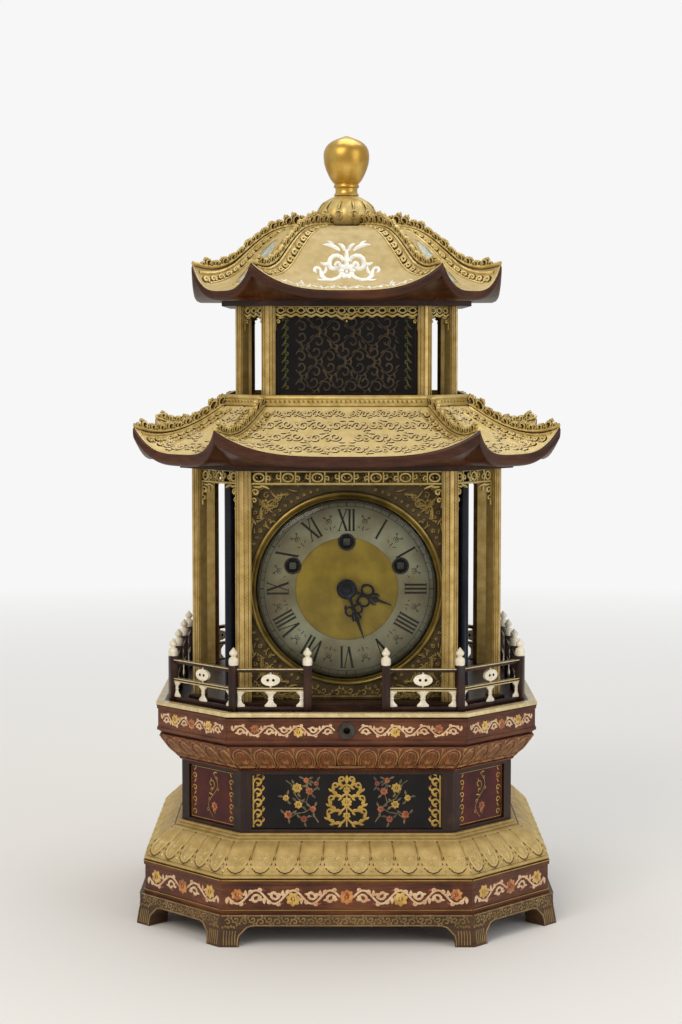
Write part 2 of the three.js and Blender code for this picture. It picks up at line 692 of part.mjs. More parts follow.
const frontPlateY = -108;
const backPlateY = -40;
const plateThickness = 3;
const plates = { halfWidth: 72, zLow: 246, zHigh: 382 };
const arborRadius = 3.5;
const windingSquare = 2.9;
const barrel = { radius: 22.5, front: -98, back: -52 };
const pivotRadius = 1.1;
const train = {
  greatRadius: 35.6, greatY: -102.5, centrePinion: 6, centreRadius: 23.6, centreY: -47.5,
  thirdPinion: 2.7, thirdRadius: 17.7, thirdY: -58, escapePinion: 2, escapeRadius: 13.5, wheelThickness: 1.8,
};
const meshGap = 0.4;
const thirdAngle = THREE.MathUtils.degToRad(-50);
const thirdReach = train.centreRadius + train.thirdPinion + meshGap;
const thirdAt = [thirdReach * Math.cos(thirdAngle), dial.z + thirdReach * Math.sin(thirdAngle)];
const escapeReach = train.thirdRadius + train.escapePinion + meshGap;
const escapeAt = [0, thirdAt[1] - Math.sqrt(escapeReach ** 2 - thirdAt[0] ** 2)];
const escapeY = -33;
const anchorAt = [0, escapeAt[1] + 21];
const pendulum = { y: -24, bobRadius: 13, bobZ: 230, rodWidth: 2.4 };
const bell = { x: 0, y: -72, z: 386, radius: 17, height: 13, wall: 1.6 };

// A clock wheel crossed out between four spokes
function wheel(radius, y, thickness, x, zAxis) {
  const around = (r, angle) => new THREE.Vector2(r * Math.cos(angle), r * Math.sin(angle));
  const sides = 24;
  const rim = Array.from({ length: sides }, (_, i) => around(radius, (2 * Math.PI * i) / sides));
  const shape = new THREE.Shape(rim);
  const quarter = Math.PI / 2;
  for (let i = 0; i < 4; i++) {
    const outer = [0.14, 0.38, 0.62, 0.86].map((share) => around(radius * 0.8, quarter * (i + share)));
    const inner = [0.7, 0.3].map((share) => around(radius * 0.3, quarter * (i + share)));
    shape.holes.push(new THREE.Path([...outer, ...inner]));
  }
  return facing(shape, thickness, 0).translate(x, y + thickness, zAxis);
}

function barrelPieces() {
  const backTip = backPlateY + plateThickness - 0.5;
  for (const [name, [x, up]] of Object.entries(windingPlaces)) {
    const at = dial.z + up;
    const square = box(x - windingSquare, x + windingSquare, dial.plateFront - 1, frontPlateY - 1,
      at - windingSquare, at + windingSquare);
    const arbor = joined(square, rodAlongY(arborRadius, frontPlateY - 2, backTip, x, at, 12));
    addPiece(`winding_arbor_${name}`, arbor, steel);
    const bore = arborRadius + runGap;
    const flange = name === 'going' ? train.greatRadius : barrel.radius + 2;
    const flangeY = name === 'going' ? train.greatY : barrel.front - 1.5;
    const flangeBack = flangeY + train.wheelThickness;
    const drum = turnedAlongY([
      [bore, flangeY], [flange, flangeY], [flange, flangeBack], [barrel.radius, flangeBack],
      [barrel.radius, barrel.back], [bore, barrel.back], [bore, flangeY],
    ], x, at, 24);
    addPiece(`barrel_${name}`, drum, plateBrass);
  }
}

function goingTrain() {
  const centreTail = backPlateY + plateThickness - 0.5;
  const frontTip = dial.plateFront - 7.6;
  const centre = joined(
    rodAlongY(1.6, frontTip, centreTail, 0, dial.z, 12),
    rodAlongY(train.centrePinion, train.greatY - 1, train.greatY + 4, 0, dial.z, 16),
    wheel(train.centreRadius, train.centreY, train.wheelThickness, 0, dial.z));
  addPiece('centre_wheel', centre, plateBrass);
  const third = joined(
    rodAlongY(pivotRadius, frontPlateY + 0.5, centreTail, thirdAt[0], thirdAt[1], 10),
    rodAlongY(train.thirdPinion, train.centreY - 1.5, train.centreY + 3.5, thirdAt[0], thirdAt[1], 12),
    wheel(train.thirdRadius, train.thirdY, train.wheelThickness, ...thirdAt));
  addPiece('third_wheel', third, plateBrass);
  const escape = joined(
    rodAlongY(pivotRadius, frontPlateY + 0.5, escapeY + 4, escapeAt[0], escapeAt[1], 10),
    rodAlongY(train.escapePinion, train.thirdY - 2, train.thirdY + 4, escapeAt[0], escapeAt[1], 12),
    escapeWheel());
  addPiece('escape_wheel', escape, plateBrass);
}

function escapeWheel() {
  const teeth = 15;
  const points = [];
  for (let i = 0; i < teeth; i++) {
    for (const [turn, radius] of [[0, train.escapeRadius], [0.12, train.escapeRadius], [0.3, train.escapeRadius - 3]]) {
      const angle = (2 * Math.PI * (i + turn)) / teeth;
      points.push([radius * Math.cos(angle), radius * Math.sin(angle)]);
    }
  }
  return facing(shapeOf(points), 1.6, 0).translate(escapeAt[0], escapeY + 1.6, escapeAt[1]);
}

function escapement() {
  const reach = anchorAt[1] - escapeAt[1];
  const span = train.escapeRadius + 1.7;
  const shoulder = backPlateY + plateThickness + seatGap;
  const arms = shapeOf([
    [-4, 2.5], [4, 2.5], [span * 0.9, -reach * 0.42], [span + 1.4, -reach * 0.72], [span - 0.2, -reach * 0.82],
    [span * 0.72, -reach * 0.34], [2.4, -3], [-2.4, -3], [-span * 0.72, -reach * 0.34],
    [-span + 0.2, -reach * 0.82], [-span - 1.4, -reach * 0.72], [-span * 0.9, -reach * 0.42],
  ]);
  const anchor = joined(
    facing(arms, 2, 0).translate(anchorAt[0], escapeY + 1.8, anchorAt[1]),
    rodAlongY(1.6, backPlateY + 0.5, pendulum.y + 3, anchorAt[0], anchorAt[1], 10),
    rodAlongY(3, shoulder, shoulder + 2, anchorAt[0], anchorAt[1], 10));
  addPiece('anchor', anchor, steel);
  const bore = 1.6 + runGap;
  const eye = new THREE.Shape();
  eye.absarc(0, 0, 4.4, 0, 2 * Math.PI);
  const hole = new THREE.Path();
  hole.absarc(0, 0, bore, 0, 2 * Math.PI);
  eye.holes.push(hole);
  const swing = joined(
    facing(eye, 2, 0, 6).translate(anchorAt[0], pendulum.y + 2, anchorAt[1]),
    box(-pendulum.rodWidth / 2, pendulum.rodWidth / 2, pendulum.y, pendulum.y + 2, pendulum.bobZ, anchorAt[1] - bore - 0.8),
    turnedAlongY([[0, pendulum.y - 2], [7, pendulum.y - 1.6], [pendulum.bobRadius, pendulum.y + 1],
      [7, pendulum.y + 3.6], [0, pendulum.y + 4]], 0, pendulum.bobZ, 16));
  addPiece('pendulum', swing, plateBrass);
}

function movementPlates() {
  const arborHoles = (radius, y) => Object.values(windingPlaces)
    .map(([x, up]) => rodAlongY(radius, y - 2, y + plateThickness + 2, x, dial.z + up));
  const small = (radius, [x, at], y) => rodAlongY(radius, y - 2, y + plateThickness + 2, x, at, 8);
  const w = plates.halfWidth;
  const pivot = pivotRadius + runGap;
  const front = box(-w, w, frontPlateY, frontPlateY + plateThickness, plates.zLow, plates.zHigh);
  const centrePivot = small(1.6 + runGap, [0, dial.z], frontPlateY);
  addPiece('movement_front_plate', trimmed(front, centrePivot, small(pivot, thirdAt, frontPlateY),
    small(pivot, escapeAt, frontPlateY), ...arborHoles(arborRadius + runGap, frontPlateY)), plateBrass);
  const back = box(-w, w, backPlateY, backPlateY + plateThickness, plates.zLow, plates.zHigh);
  const pillarAt = [[-w + 8, plates.zLow + 8], [w - 8, plates.zLow + 8], [-w + 8, plates.zHigh - 8], [w - 8, plates.zHigh - 8]];
  const pillars = pillarAt.map(([x, at]) =>
    rodAlongY(4, frontPlateY + plateThickness, backPlateY + 1, x, at, 8));
  const bracketLow = bell.z + bell.height + 2;
  const bracket = [
    box(-4, 4, backPlateY, backPlateY + plateThickness, plates.zHigh - 1, bracketLow + 3),
    box(-4, 4, bell.y - 4, backPlateY + plateThickness, bracketLow, bracketLow + 3),
    turnedUpright([[0, bracketLow + 1], [2.5, bracketLow + 1], [2.5, bracketLow - 2 + seatGap], [0, bracketLow - 2 + seatGap]],
      bell.x, bell.y, 8),
  ];
  const backHoles = [
    small(1.6 + runGap, [0, dial.z], backPlateY), small(pivot, thirdAt, backPlateY),
    small(pivot, escapeAt, backPlateY), small(1.6 + runGap, anchorAt, backPlateY),
    ...arborHoles(arborRadius + runGap, backPlateY),
  ];
  addPiece('movement_back_plate', trimmed(joined(back, ...pillars, ...bracket), ...backHoles), plateBrass);
}

// Case: a box open to the dial in front, with a door high in its back, and four dark columns

const caseBox = {
  halfWidth: 98, front: -120.5, back: 118, wall: 8, frontHalf: 86,
  doorHalf: 83, doorLow: 264, doorHigh: z.columnTop - valance.band - valance.drop - 1,
};
const shelf = { thickness: 6, back: -35 };
const innerColumn = { x: 104.6, y: 112, radius: 4.5 };
const door = { thickness: 6, rebate: 0.5 };

function clockCase() {
  const top = z.columnTop;
  const low = z.columnBottom;
  const { halfWidth, wall, front, back, frontHalf, doorHalf, doorLow, doorHigh } = caseBox;
  const shell = box(-halfWidth, halfWidth, front, back, low, top);
  const hollow = box(-halfWidth + wall, halfWidth - wall, front + wall, back - wall, low + 6, top - 6);
  const dialOpening = box(-frontHalf, frontHalf, front - 1, front + wall + 1, low + 6, top - 6);
  const doorOpening = box(-doorHalf, doorHalf, back - wall - 1, back + 1, doorLow, doorHigh);
  const sidePanels = [-1, 1].map((side) => {
    const x = [side * (halfWidth - 2), side * (halfWidth + 1)].sort((a, b) => a - b);
    return box(x[0], x[1], front + 22, back - 22, low + 20, top - 20);
  });
  const seat = box(-halfWidth + wall - 1, halfWidth - wall + 1, front + wall + 2, shelf.back,
    plates.zLow - shelf.thickness, plates.zLow);
  const columns = [];
  for (const sx of [-1, 1]) {
    for (const sy of [-1, 1]) {
      columns.push(turnedUpright([[0, low], [innerColumn.radius, low], [innerColumn.radius, top], [0, top]],
        sx * innerColumn.x, sy * innerColumn.y, 12));
      const x = [sx * (halfWidth - 1), sx * innerColumn.x].sort((a, b) => a - b);
      columns.push(box(x[0], x[1], sy * innerColumn.y - 1.5, sy * innerColumn.y + 1.5, low, top));
    }
  }
  const body = trimmed(shell, hollow, dialOpening, doorOpening, ...sidePanels);
  addPiece('clock_case', joined(body, seat, ...columns), hardwood);

  const leafHalf = doorHalf - door.rebate;
  const leaf = box(-leafHalf, leafHalf, back - door.thickness, back, doorLow + door.rebate, doorHigh - door.rebate);
  const field = box(-leafHalf + 14, leafHalf - 14, back - 1.5, back + 1, doorLow + 14, doorHigh - 14);
  const knob = turnedAlongY([[0, back - 2], [2.4, back - 2], [2.4, back + 3], [4.5, back + 5], [3.6, back + 8], [0, back + 9]],
    leafHalf - 8, (doorLow + doorHigh) / 2, 12);
  addPiece('rear_door', joined(trimmed(leaf, field), knob), hardwood);
}

// Bell over the movement

function strike() {
  const { radius, height, wall } = bell;
  const outer = [[0, height], [radius * 0.55, height * 0.93], [radius * 0.82, height * 0.62], [radius, 0]];
  const inner = [[radius - wall, 0], [radius * 0.82 - wall, height * 0.56], [radius * 0.5, height * 0.8], [0, height * 0.82]];
  addPiece('bell', turnedUpright([...outer, ...inner].map(([r, h]) => [r, bell.z + h]), bell.x, bell.y, 16), plateBrass);
}

// Roofs

const eave = {
  lower: { sag: 6, tipRise: 23, underRise: 20.5, flare: 3.6 },
  upper: { sag: -1, tipRise: 24, underRise: 20, flare: 3.2 },
};
const lowerSlope = [[0, 1], [0.25, 0.745], [0.5, 0.53], [0.75, 0.353], [1, 0.206]];
const upperSlope = [[0, 1], [0.16, 0.975], [0.3, 0.92], [0.42, 0.8], [0.55, 0.6], [0.68, 0.38], [0.82, 0.23], [1, 0.12]];

// Half width and height of the roof surface under the tips are worked out side by side,
// so that a hip is a straight line of points from the top to each tip.
function roofPoint(roof, n, share, along) {
  const tip = Math.abs(2 * along - 1) ** roof.eave.flare;
  const topSide = sideOf(roof.topPlan, n);
  const eaveSide = sideOf(roof.eavePlan, n);
  const across = 2 * along - 1;
  const outAtEave = eaveSide.distance - (1 - tip) * roof.eave.sag;
  return {
    tip,
    place: (out, height, half) => new THREE.Vector3(across * half, -out, height).applyAxisAngle(
      new THREE.Vector3(0, 0, 1), topSide.turn),
    out: THREE.MathUtils.lerp(topSide.distance, outAtEave, share),
    half: THREE.MathUtils.lerp(topSide.halfLength, eaveSide.halfLength, share),
    outAtEave,
  };
}

function roofHeight(roof, share, slope, tip) {
  const rise = roof.zTop - roof.zBottom;
  return roof.zBottom + slope * rise + roof.eave.tipRise * tip * share ** 3;
}

function roofSurface(roof, columnsPerSide) {
  const loops = [];
  const eachPlace = (make) => {
    const loop = [];
    for (const n of sideNumbers) {
      const count = columnsPerSide[n % 2];
      for (let i = 0; i < count; i++) loop.push(make(n, i / count));
    }
    return loop;
  };
  const onPlan = (plan, height) => eachPlace((n, along) => {
    const side = sideOf(plan, n);
    return new THREE.Vector3((2 * along - 1) * side.halfLength, -side.distance, height)
      .applyAxisAngle(new THREE.Vector3(0, 0, 1), side.turn);
  });
  for (const [share, slope] of roof.slope) {
    loops.push(eachPlace((n, along) => {
      const p = roofPoint(roof, n, share, along);
      return p.place(p.out, roofHeight(roof, share, slope, p.tip), p.half);
    }));
  }
  const [, lastSlope] = roof.slope[roof.slope.length - 1];
  const under = (drop, pull) => eachPlace((n, along) => {
    const p = roofPoint(roof, n, 1, along);
    const top = roofHeight(roof, 1, lastSlope, p.tip);
    const bottom = roof.zBottom + roof.eave.underRise * p.tip;
    return p.place(p.outAtEave - pull, THREE.MathUtils.lerp(top, bottom, drop), p.half - pull * 0.414);
  });
  loops.push(under(0.45, -0.6));
  loops.push(under(0.9, 0.8));
  loops.push(under(1, 2.6));
  loops.push(onPlan(roof.soffitPlan, roof.zBottom));
  loops.push(onPlan(roof.innerPlan, roof.zBottom));
  loops.push(onPlan(roof.innerPlan, roof.zTop));
  return skin(loops, true);
}

const lowerRoof = {
  topPlan: lowerRoofTopPlan, eavePlan: lowerEavePlan, zBottom: z.lowerRoofBottom, zTop: z.lowerRoofTop,
  slope: lowerSlope, eave: eave.lower, soffitPlan: inset(columnPlan, -11), innerPlan: inset(lowerRoofTopPlan, 14),
};
const upperRoof = {
  topPlan: upperRoofTopPlan, eavePlan: upperEavePlan, zBottom: z.upperRoofBottom, zTop: z.upperRoofTop,
  slope: upperSlope, eave: eave.upper, soffitPlan: inset(upperColumnPlan, -13), innerPlan: inset(upperRoofTopPlan, 16),
};

// A hip crest: a bar along the hip from the top to the tip, with a scalloped upper edge
const crestWidth = 5;
const crestSteps = 15;
const scallops = 5;

function hipCrest(roof, n, heights, startBefore) {
  const top = corners(roof.topPlan)[n];
  const run = corners(roof.eavePlan)[n].sub(top);
  const length = run.length();
  const surface = roof.slope.map(([share, slope]) => [share * length, roofHeight(roof, share, slope, 1)]);
  const heightAt = (distance) => {
    const i = Math.max(1, surface.findIndex(([d]) => d >= distance - 1e-6));
    return THREE.MathUtils.mapLinear(distance, surface[i - 1][0], surface[i][0], surface[i - 1][1], surface[i][1]);
  };
  const foot = surface.map(([distance, height]) => [distance, height + seatGap]);
  const edge = [];
  for (let i = crestSteps; i >= 0; i--) {
    const share = i / crestSteps;
    const scallop = 0.72 + 0.28 * Math.abs(Math.sin(share * Math.PI * scallops));
    edge.push([share * length, heightAt(share * length) + seatGap + heights(share) * scallop]);
  }
  const startFoot = [-startBefore, roof.zTop + seatGap];
  const startEdge = [-startBefore, roof.zTop + seatGap + heights(0) * 0.72];
  return facing(shapeOf([startFoot, ...foot, ...edge, startEdge]), crestWidth, crestWidth / 2)
    .rotateZ(Math.atan2(run.y, run.x))
    .translate(top.x, top.y, 0);
}

const crestHeight = (share) => 7 + 6 * Math.exp(-(((share - 0.12) / 0.16) ** 2)) + 4 * Math.max(0, share - 0.75) * 4;
const ridgeRing = { height: 10.5, width: 4, inset: 0.5 };
const cap = { low: 24, wide: 28.6, neck: 10.8, height: 29.6 };

function roofs() {
  addPiece('lower_roof', roofSurface(lowerRoof, [6, 4]), roofGilt);
  const ringPlan = inset(lowerRoofTopPlan, ridgeRing.inset);
  const base = z.lowerRoofTop;
  const ringBody = ring([
    [ringPlan, base], [inset(ringPlan, -1), base + 3], [inset(ringPlan, 0.6), base + 4],
    [inset(ringPlan, -0.6), base + 7.5], [inset(ringPlan, 1.2), base + ridgeRing.height],
  ], inset(ringPlan, ridgeRing.width));
  const crests = sideNumbers.map((n) => hipCrest(lowerRoof, n, crestHeight, 2));
  addPiece('lower_ridge', joined(ringBody, ...crests), giltBrass);

  addPiece('upper_roof', roofSurface(upperRoof, [6, 4]), roofGilt);
  const top = z.upperRoofTop;
  const capBody = turnedUpright([
    [0, top], [cap.low, top], [cap.wide, top + 9], [cap.wide - 2.6, top + 17],
    [cap.wide - 9, top + 24], [cap.neck, top + cap.height], [0, top + cap.height],
  ], 0, 0, 16);
  const upperCrests = sideNumbers.map((n) => hipCrest(upperRoof, n, crestHeight, 18));
  addPiece('upper_ridge', joined(capBody, ...upperCrests), giltBrass);

  const foot = top + cap.height;
  const neck = 11;
  addPiece('finial', turnedUpright([
    [0, foot], [11.6, foot], [10.4, foot + 3], [10.4, foot + 7], [12, foot + 8.5], [11, foot + neck],
    [16.5, foot + neck + 7], [21, foot + neck + 18], [21.4, foot + neck + 27], [19.2, foot + neck + 34],
    [14, foot + neck + 39], [3, foot + neck + 43], [0, foot + neck + 44.6],
  ], 0, 0, 16), giltBrass);
}

// Upper storey

const upperBox = { halfWidth: 76, halfDepth: 88, panelHalf: 61.4, recess: 3 };

function upperStorey() {
  const floorPlan = inset(lowerRoofTopPlan, ridgeRing.inset + ridgeRing.width + seatGap);
  addPiece('upper_floor', board(floorPlan, z.lowerRoofTop, z.upperColumnBottom), hardwood);
  const { halfWidth, halfDepth, recess, panelHalf } = upperBox;
  const low = z.upperColumnBottom;
  const high = z.upperColumnTop;
  const block = box(-halfWidth, halfWidth, -halfDepth, halfDepth, low, high);
  const panels = [
    box(-panelHalf, panelHalf, -halfDepth - 1, -halfDepth + recess, low + 6, high - 8),
    box(-panelHalf, panelHalf, halfDepth - recess, halfDepth + 1, low + 6, high - 8),
    box(halfWidth - recess, halfWidth + 1, -panelHalf, panelHalf, low + 6, high - 8),
    box(-halfWidth - 1, -halfWidth + recess, -panelHalf, panelHalf, low + 6, high - 8),
  ];
  const hollow = box(-halfWidth + 12, halfWidth - 12, -halfDepth + 12, halfDepth - 12, low - 1, high - 8);
  addPiece('upper_case', trimmed(block, hollow, ...panels), blackLacquer);
  const shafts = sideNumbers.map((n) =>
    upright(columnShape(upperColumnPlan, n, upperColumn), upperColumnHeight, low));
  const fret = fretRing(upperColumnPlan, upperColumn, high, upperValance.band, upperValance.drop, upperValance.holes);
  addPiece('upper_colonnade', joined(fret, ...shafts), giltBrass);
  addPiece('upper_ceiling', board(inset(upperColumnPlan, -12), high, z.upperRoofBottom), hardwood);
}

footFrame();
lowerFrieze();
lowerLotusBand();
waist();
drawerSpace();
deck();
balustrades();
lowerStorey();
clockCase();
dialPieces();
const hourFront = dial.plateFront - dial.ringThickness - 2.4;
const minuteFront = hourFront - 2.3;
addPiece('hour_hand', hand(hands.hourLength, 7.5, { width: 16, bottom: 12, middle: 19, top: 27 },
  hourFront, hands.hourTurn, 2.6), bluedSteel);
addPiece('minute_hand', hand(hands.minuteLength, 8.5, { width: 13, bottom: 13, middle: 20, top: 28 },
  minuteFront, hands.minuteTurn, 2.1), bluedSteel);
movementPlates();
barrelPieces();
goingTrain();
escapement();
strike();
roofs();
upperStorey();

export default clock;
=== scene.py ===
import bmesh
import bpy
import json
import math
import random
from mathutils import Matrix, Vector

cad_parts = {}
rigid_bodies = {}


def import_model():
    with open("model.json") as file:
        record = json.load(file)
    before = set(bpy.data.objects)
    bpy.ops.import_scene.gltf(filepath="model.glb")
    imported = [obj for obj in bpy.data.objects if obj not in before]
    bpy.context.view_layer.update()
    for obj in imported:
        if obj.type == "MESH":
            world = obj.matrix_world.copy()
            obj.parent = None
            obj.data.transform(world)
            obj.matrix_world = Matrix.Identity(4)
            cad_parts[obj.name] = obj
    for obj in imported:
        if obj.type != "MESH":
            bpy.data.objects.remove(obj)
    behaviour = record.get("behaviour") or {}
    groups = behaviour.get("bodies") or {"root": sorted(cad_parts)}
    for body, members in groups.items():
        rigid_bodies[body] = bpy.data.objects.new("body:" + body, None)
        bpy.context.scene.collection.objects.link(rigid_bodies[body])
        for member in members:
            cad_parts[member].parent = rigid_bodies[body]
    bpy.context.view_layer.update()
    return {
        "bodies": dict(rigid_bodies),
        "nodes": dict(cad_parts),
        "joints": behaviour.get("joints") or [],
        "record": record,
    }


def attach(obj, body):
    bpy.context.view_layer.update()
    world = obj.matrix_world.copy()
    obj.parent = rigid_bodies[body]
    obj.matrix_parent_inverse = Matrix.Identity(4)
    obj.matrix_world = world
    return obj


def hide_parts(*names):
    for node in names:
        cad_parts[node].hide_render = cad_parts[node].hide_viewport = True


# Pavilion table clock. Sizes in the dictionaries are millimetres, the scene itself is metres.
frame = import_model()
nodes = frame["nodes"]
mm = 0.001
print("frame loaded:", len(nodes), "nodes")


# Materials: one small node adder, then one function per finish

def fromHex(text):  # sRGB hex to the linear colour that sockets take
    values = [int(text[i:i + 2], 16) / 255 for i in (0, 2, 4)]
    return [v / 12.92 if v <= 0.04045 else ((v + 0.055) / 1.055) ** 2.4 for v in values] + [1]


def addNode(tree, kind, links=None, **settings):
    # a link is a value, a socket, or a node for its first output
    node = tree.nodes.new("ShaderNode" + kind)
    for name, value in settings.items():
        setattr(node, name, value)
    for name, value in (links or {}).items():
        if isinstance(value, bpy.types.Node):
            value = value.outputs[0]
        if isinstance(value, bpy.types.NodeSocket):
            tree.links.new(value, node.inputs[name])
        else:
            node.inputs[name].default_value = value
    return node


def startMaterial(name):
    material = bpy.data.materials.new(name)
    material.use_nodes = True
    tree = material.node_tree
    tree.nodes.clear()
    return material, tree


def setRamp(node, stops):  # stops are (position, hex colour)
    ramp = node.color_ramp
    while len(ramp.elements) < len(stops):
        ramp.elements.new(0.5)
    for element, (position, color) in zip(ramp.elements, stops):
        element.position = position
        element.color = fromHex(color)
    return node


def stretched(tree, *perMetre):  # object coordinates, scaled to features per metre, alike or along x, y and z
    place = addNode(tree, "TexCoord")
    scale = perMetre if len(perMetre) == 3 else perMetre * 3
    return addNode(tree, "Mapping", {"Vector": place.outputs["Object"], "Scale": scale})


# painted shade and grime: ambient occlusion darkens the colour in recesses, for the grime left there and the
# shade that falls there
def recessShadeAndGrime(tree, openColor, closed, reach):  # the closed colour where something stands within reach mm
    shade = addNode(tree, "AmbientOcclusion", {"Distance": reach * mm}, samples=6)
    ease = addNode(tree, "MapRange", {"Value": shade.outputs["AO"], "From Min": 0.35, "From Max": 0.85,
                                      "To Min": 0.1, "To Max": 1.0})
    return addNode(tree, "Mix", {0: ease, 6: closed, 7: openColor}, data_type="RGBA").outputs[2]


def endMaterial(material, tree, shader):
    addNode(tree, "OutputMaterial", {"Surface": shader})
    return material


def hardwood(name, grain, tones=("170B07", "2E180F", "482819"), rough=0.34, worn="6A4630"):
    # zitan rosewood, planed and waxed: near-black purple brown with fine pores along the grain
    material, tree = startMaterial(name)
    along = stretched(tree, *grain)
    fibre = addNode(tree, "TexNoise", {"Vector": along, "Scale": 1.0, "Detail": 6.0, "Roughness": 0.62})
    drift = addNode(tree, "TexNoise", {"Vector": stretched(tree, 18), "Scale": 1.0, "Detail": 3.0})
    both = addNode(tree, "Math", {0: fibre, 1: drift}, operation="MULTIPLY")
    tone = addNode(tree, "ValToRGB", {"Fac": both})
    color = setRamp(tone, list(zip((0.12, 0.27, 0.46), tones)))
    touch = addNode(tree, "TexNoise", {"Vector": stretched(tree, 70), "Scale": 1.0, "Detail": 5.0})
    rub = addNode(tree, "MapRange", {"Value": touch, "From Min": 0.55, "From Max": 0.8, "To Max": 0.3})
    rubbed = addNode(tree, "Mix", {0: rub, 6: color, 7: fromHex(worn)}, data_type="RGBA")
    gloss = addNode(tree, "MapRange", {"Value": fibre, "To Min": rough - 0.08, "To Max": rough + 0.16})
    pores = addNode(tree, "Bump", {"Height": fibre, "Strength": 0.25, "Distance": 0.0002})
    shader = addNode(tree, "BsdfPrincipled", {"Base Color": rubbed.outputs[2], "Roughness": gloss, "IOR": 1.5,
                                              "Specular IOR Level": 0.28, "Coat Weight": 0.08,
                                              "Coat Roughness": 0.18, "Normal": pores})
    return endMaterial(material, tree, shader)


def carvedGilt(name, bright, dull, hollowShadeAndGrime, reach, rough=0.34, metal=0.85, grit=900.0):
    # gilding over carving: leaf still bright on the high places, the hollows darkened partly by grime and
    # partly as painted shade
    material, tree = startMaterial(name)
    patch = addNode(tree, "TexNoise", {"Vector": stretched(tree, 110), "Scale": 1.0, "Detail": 5.0,
                                       "Roughness": 0.55})
    worn = addNode(tree, "ValToRGB", {"Fac": patch})
    color = setRamp(worn, [(0.3, dull), (0.66, bright)])
    # the recess colour paints shade into the hollows along with their grime
    shadedAndGrimy = recessShadeAndGrime(tree, color, fromHex(hollowShadeAndGrime), reach)
    grain = addNode(tree, "TexNoise", {"Vector": stretched(tree, grit), "Scale": 1.0, "Detail": 2.0})
    relief = addNode(tree, "Bump", {"Height": grain, "Strength": 0.3, "Distance": 0.0002})
    gloss = addNode(tree, "MapRange", {"Value": patch, "To Min": rough + 0.2, "To Max": rough - 0.08})
    shader = addNode(tree, "BsdfPrincipled", {"Base Color": shadedAndGrimy, "Metallic": metal, "Roughness": gloss,
                                              "Normal": relief})
    return endMaterial(material, tree, shader)


def lacquer(name, deep, light, rough=0.12):
    # many thin coats of lacquer, polished: deep colour under a clear gloss, faint cloudiness and hairlines
    material, tree = startMaterial(name)
    cloud = addNode(tree, "TexNoise", {"Vector": stretched(tree, 45), "Scale": 1.0, "Detail": 4.0})
    tone = addNode(tree, "ValToRGB", {"Fac": cloud})
    color = setRamp(tone, [(0.35, deep), (0.75, light)])
    hair = addNode(tree, "TexNoise", {"Vector": stretched(tree, 60, 60, 900), "Scale": 1.0, "Detail": 2.0})
    gloss = addNode(tree, "MapRange", {"Value": hair, "To Min": rough, "To Max": rough + 0.18})
    shader = addNode(tree, "BsdfPrincipled", {"Base Color": color, "Roughness": gloss, "IOR": 1.52,
                                              "Specular IOR Level": 0.16, "Coat Weight": 0.1,
                                              "Coat Roughness": 0.06})
    return endMaterial(material, tree, shader)


def shellInlay(name, tones, rough=0.22):
    # mother of pearl, bone and horn let into wood: pale, slightly mottled, softly glossy
    material, tree = startMaterial(name)
    mottle = addNode(tree, "TexVoronoi", {"Vector": stretched(tree, 230), "Scale": 1.0, "Randomness": 1.0})
    tint = addNode(tree, "TexNoise", {"Vector": stretched(tree, 60), "Scale": 1.0, "Detail": 3.0})
    pick = addNode(tree, "Math", {0: mottle.outputs["Color"], 1: tint}, operation="MULTIPLY")
    tone = addNode(tree, "ValToRGB", {"Fac": pick})
    color = setRamp(tone, tones)
    shader = addNode(tree, "BsdfPrincipled", {"Base Color": color, "Roughness": rough, "IOR": 1.53,
                                              "Coat Weight": 0.3, "Coat Roughness": 0.1})
    return endMaterial(material, tree, shader)


def metal(name, color, dull, rough, scale, strength=0.15, metallic=1.0):
    # rolled, filed and polished metal with a few dull patches of age
    material, tree = startMaterial(name)
    age = addNode(tree, "TexNoise", {"Vector": stretched(tree, 55), "Scale": 1.0, "Detail": 5.0})
    tone = addNode(tree, "ValToRGB", {"Fac": age})
    tint = setRamp(tone, [(0.38, dull), (0.62, color)])
    lines = addNode(tree, "TexNoise", {"Vector": stretched(tree, *scale), "Scale": 1.0, "Detail": 3.0})
    gloss = addNode(tree, "MapRange", {"Value": age, "To Min": rough + 0.12, "To Max": rough - 0.06})
    filed = addNode(tree, "Bump", {"Height": lines, "Strength": strength, "Distance": 0.0001})
    shader = addNode(tree, "BsdfPrincipled", {"Base Color": tint, "Metallic": metallic, "Roughness": gloss,
                                              "Normal": filed})
    return endMaterial(material, tree, shader)


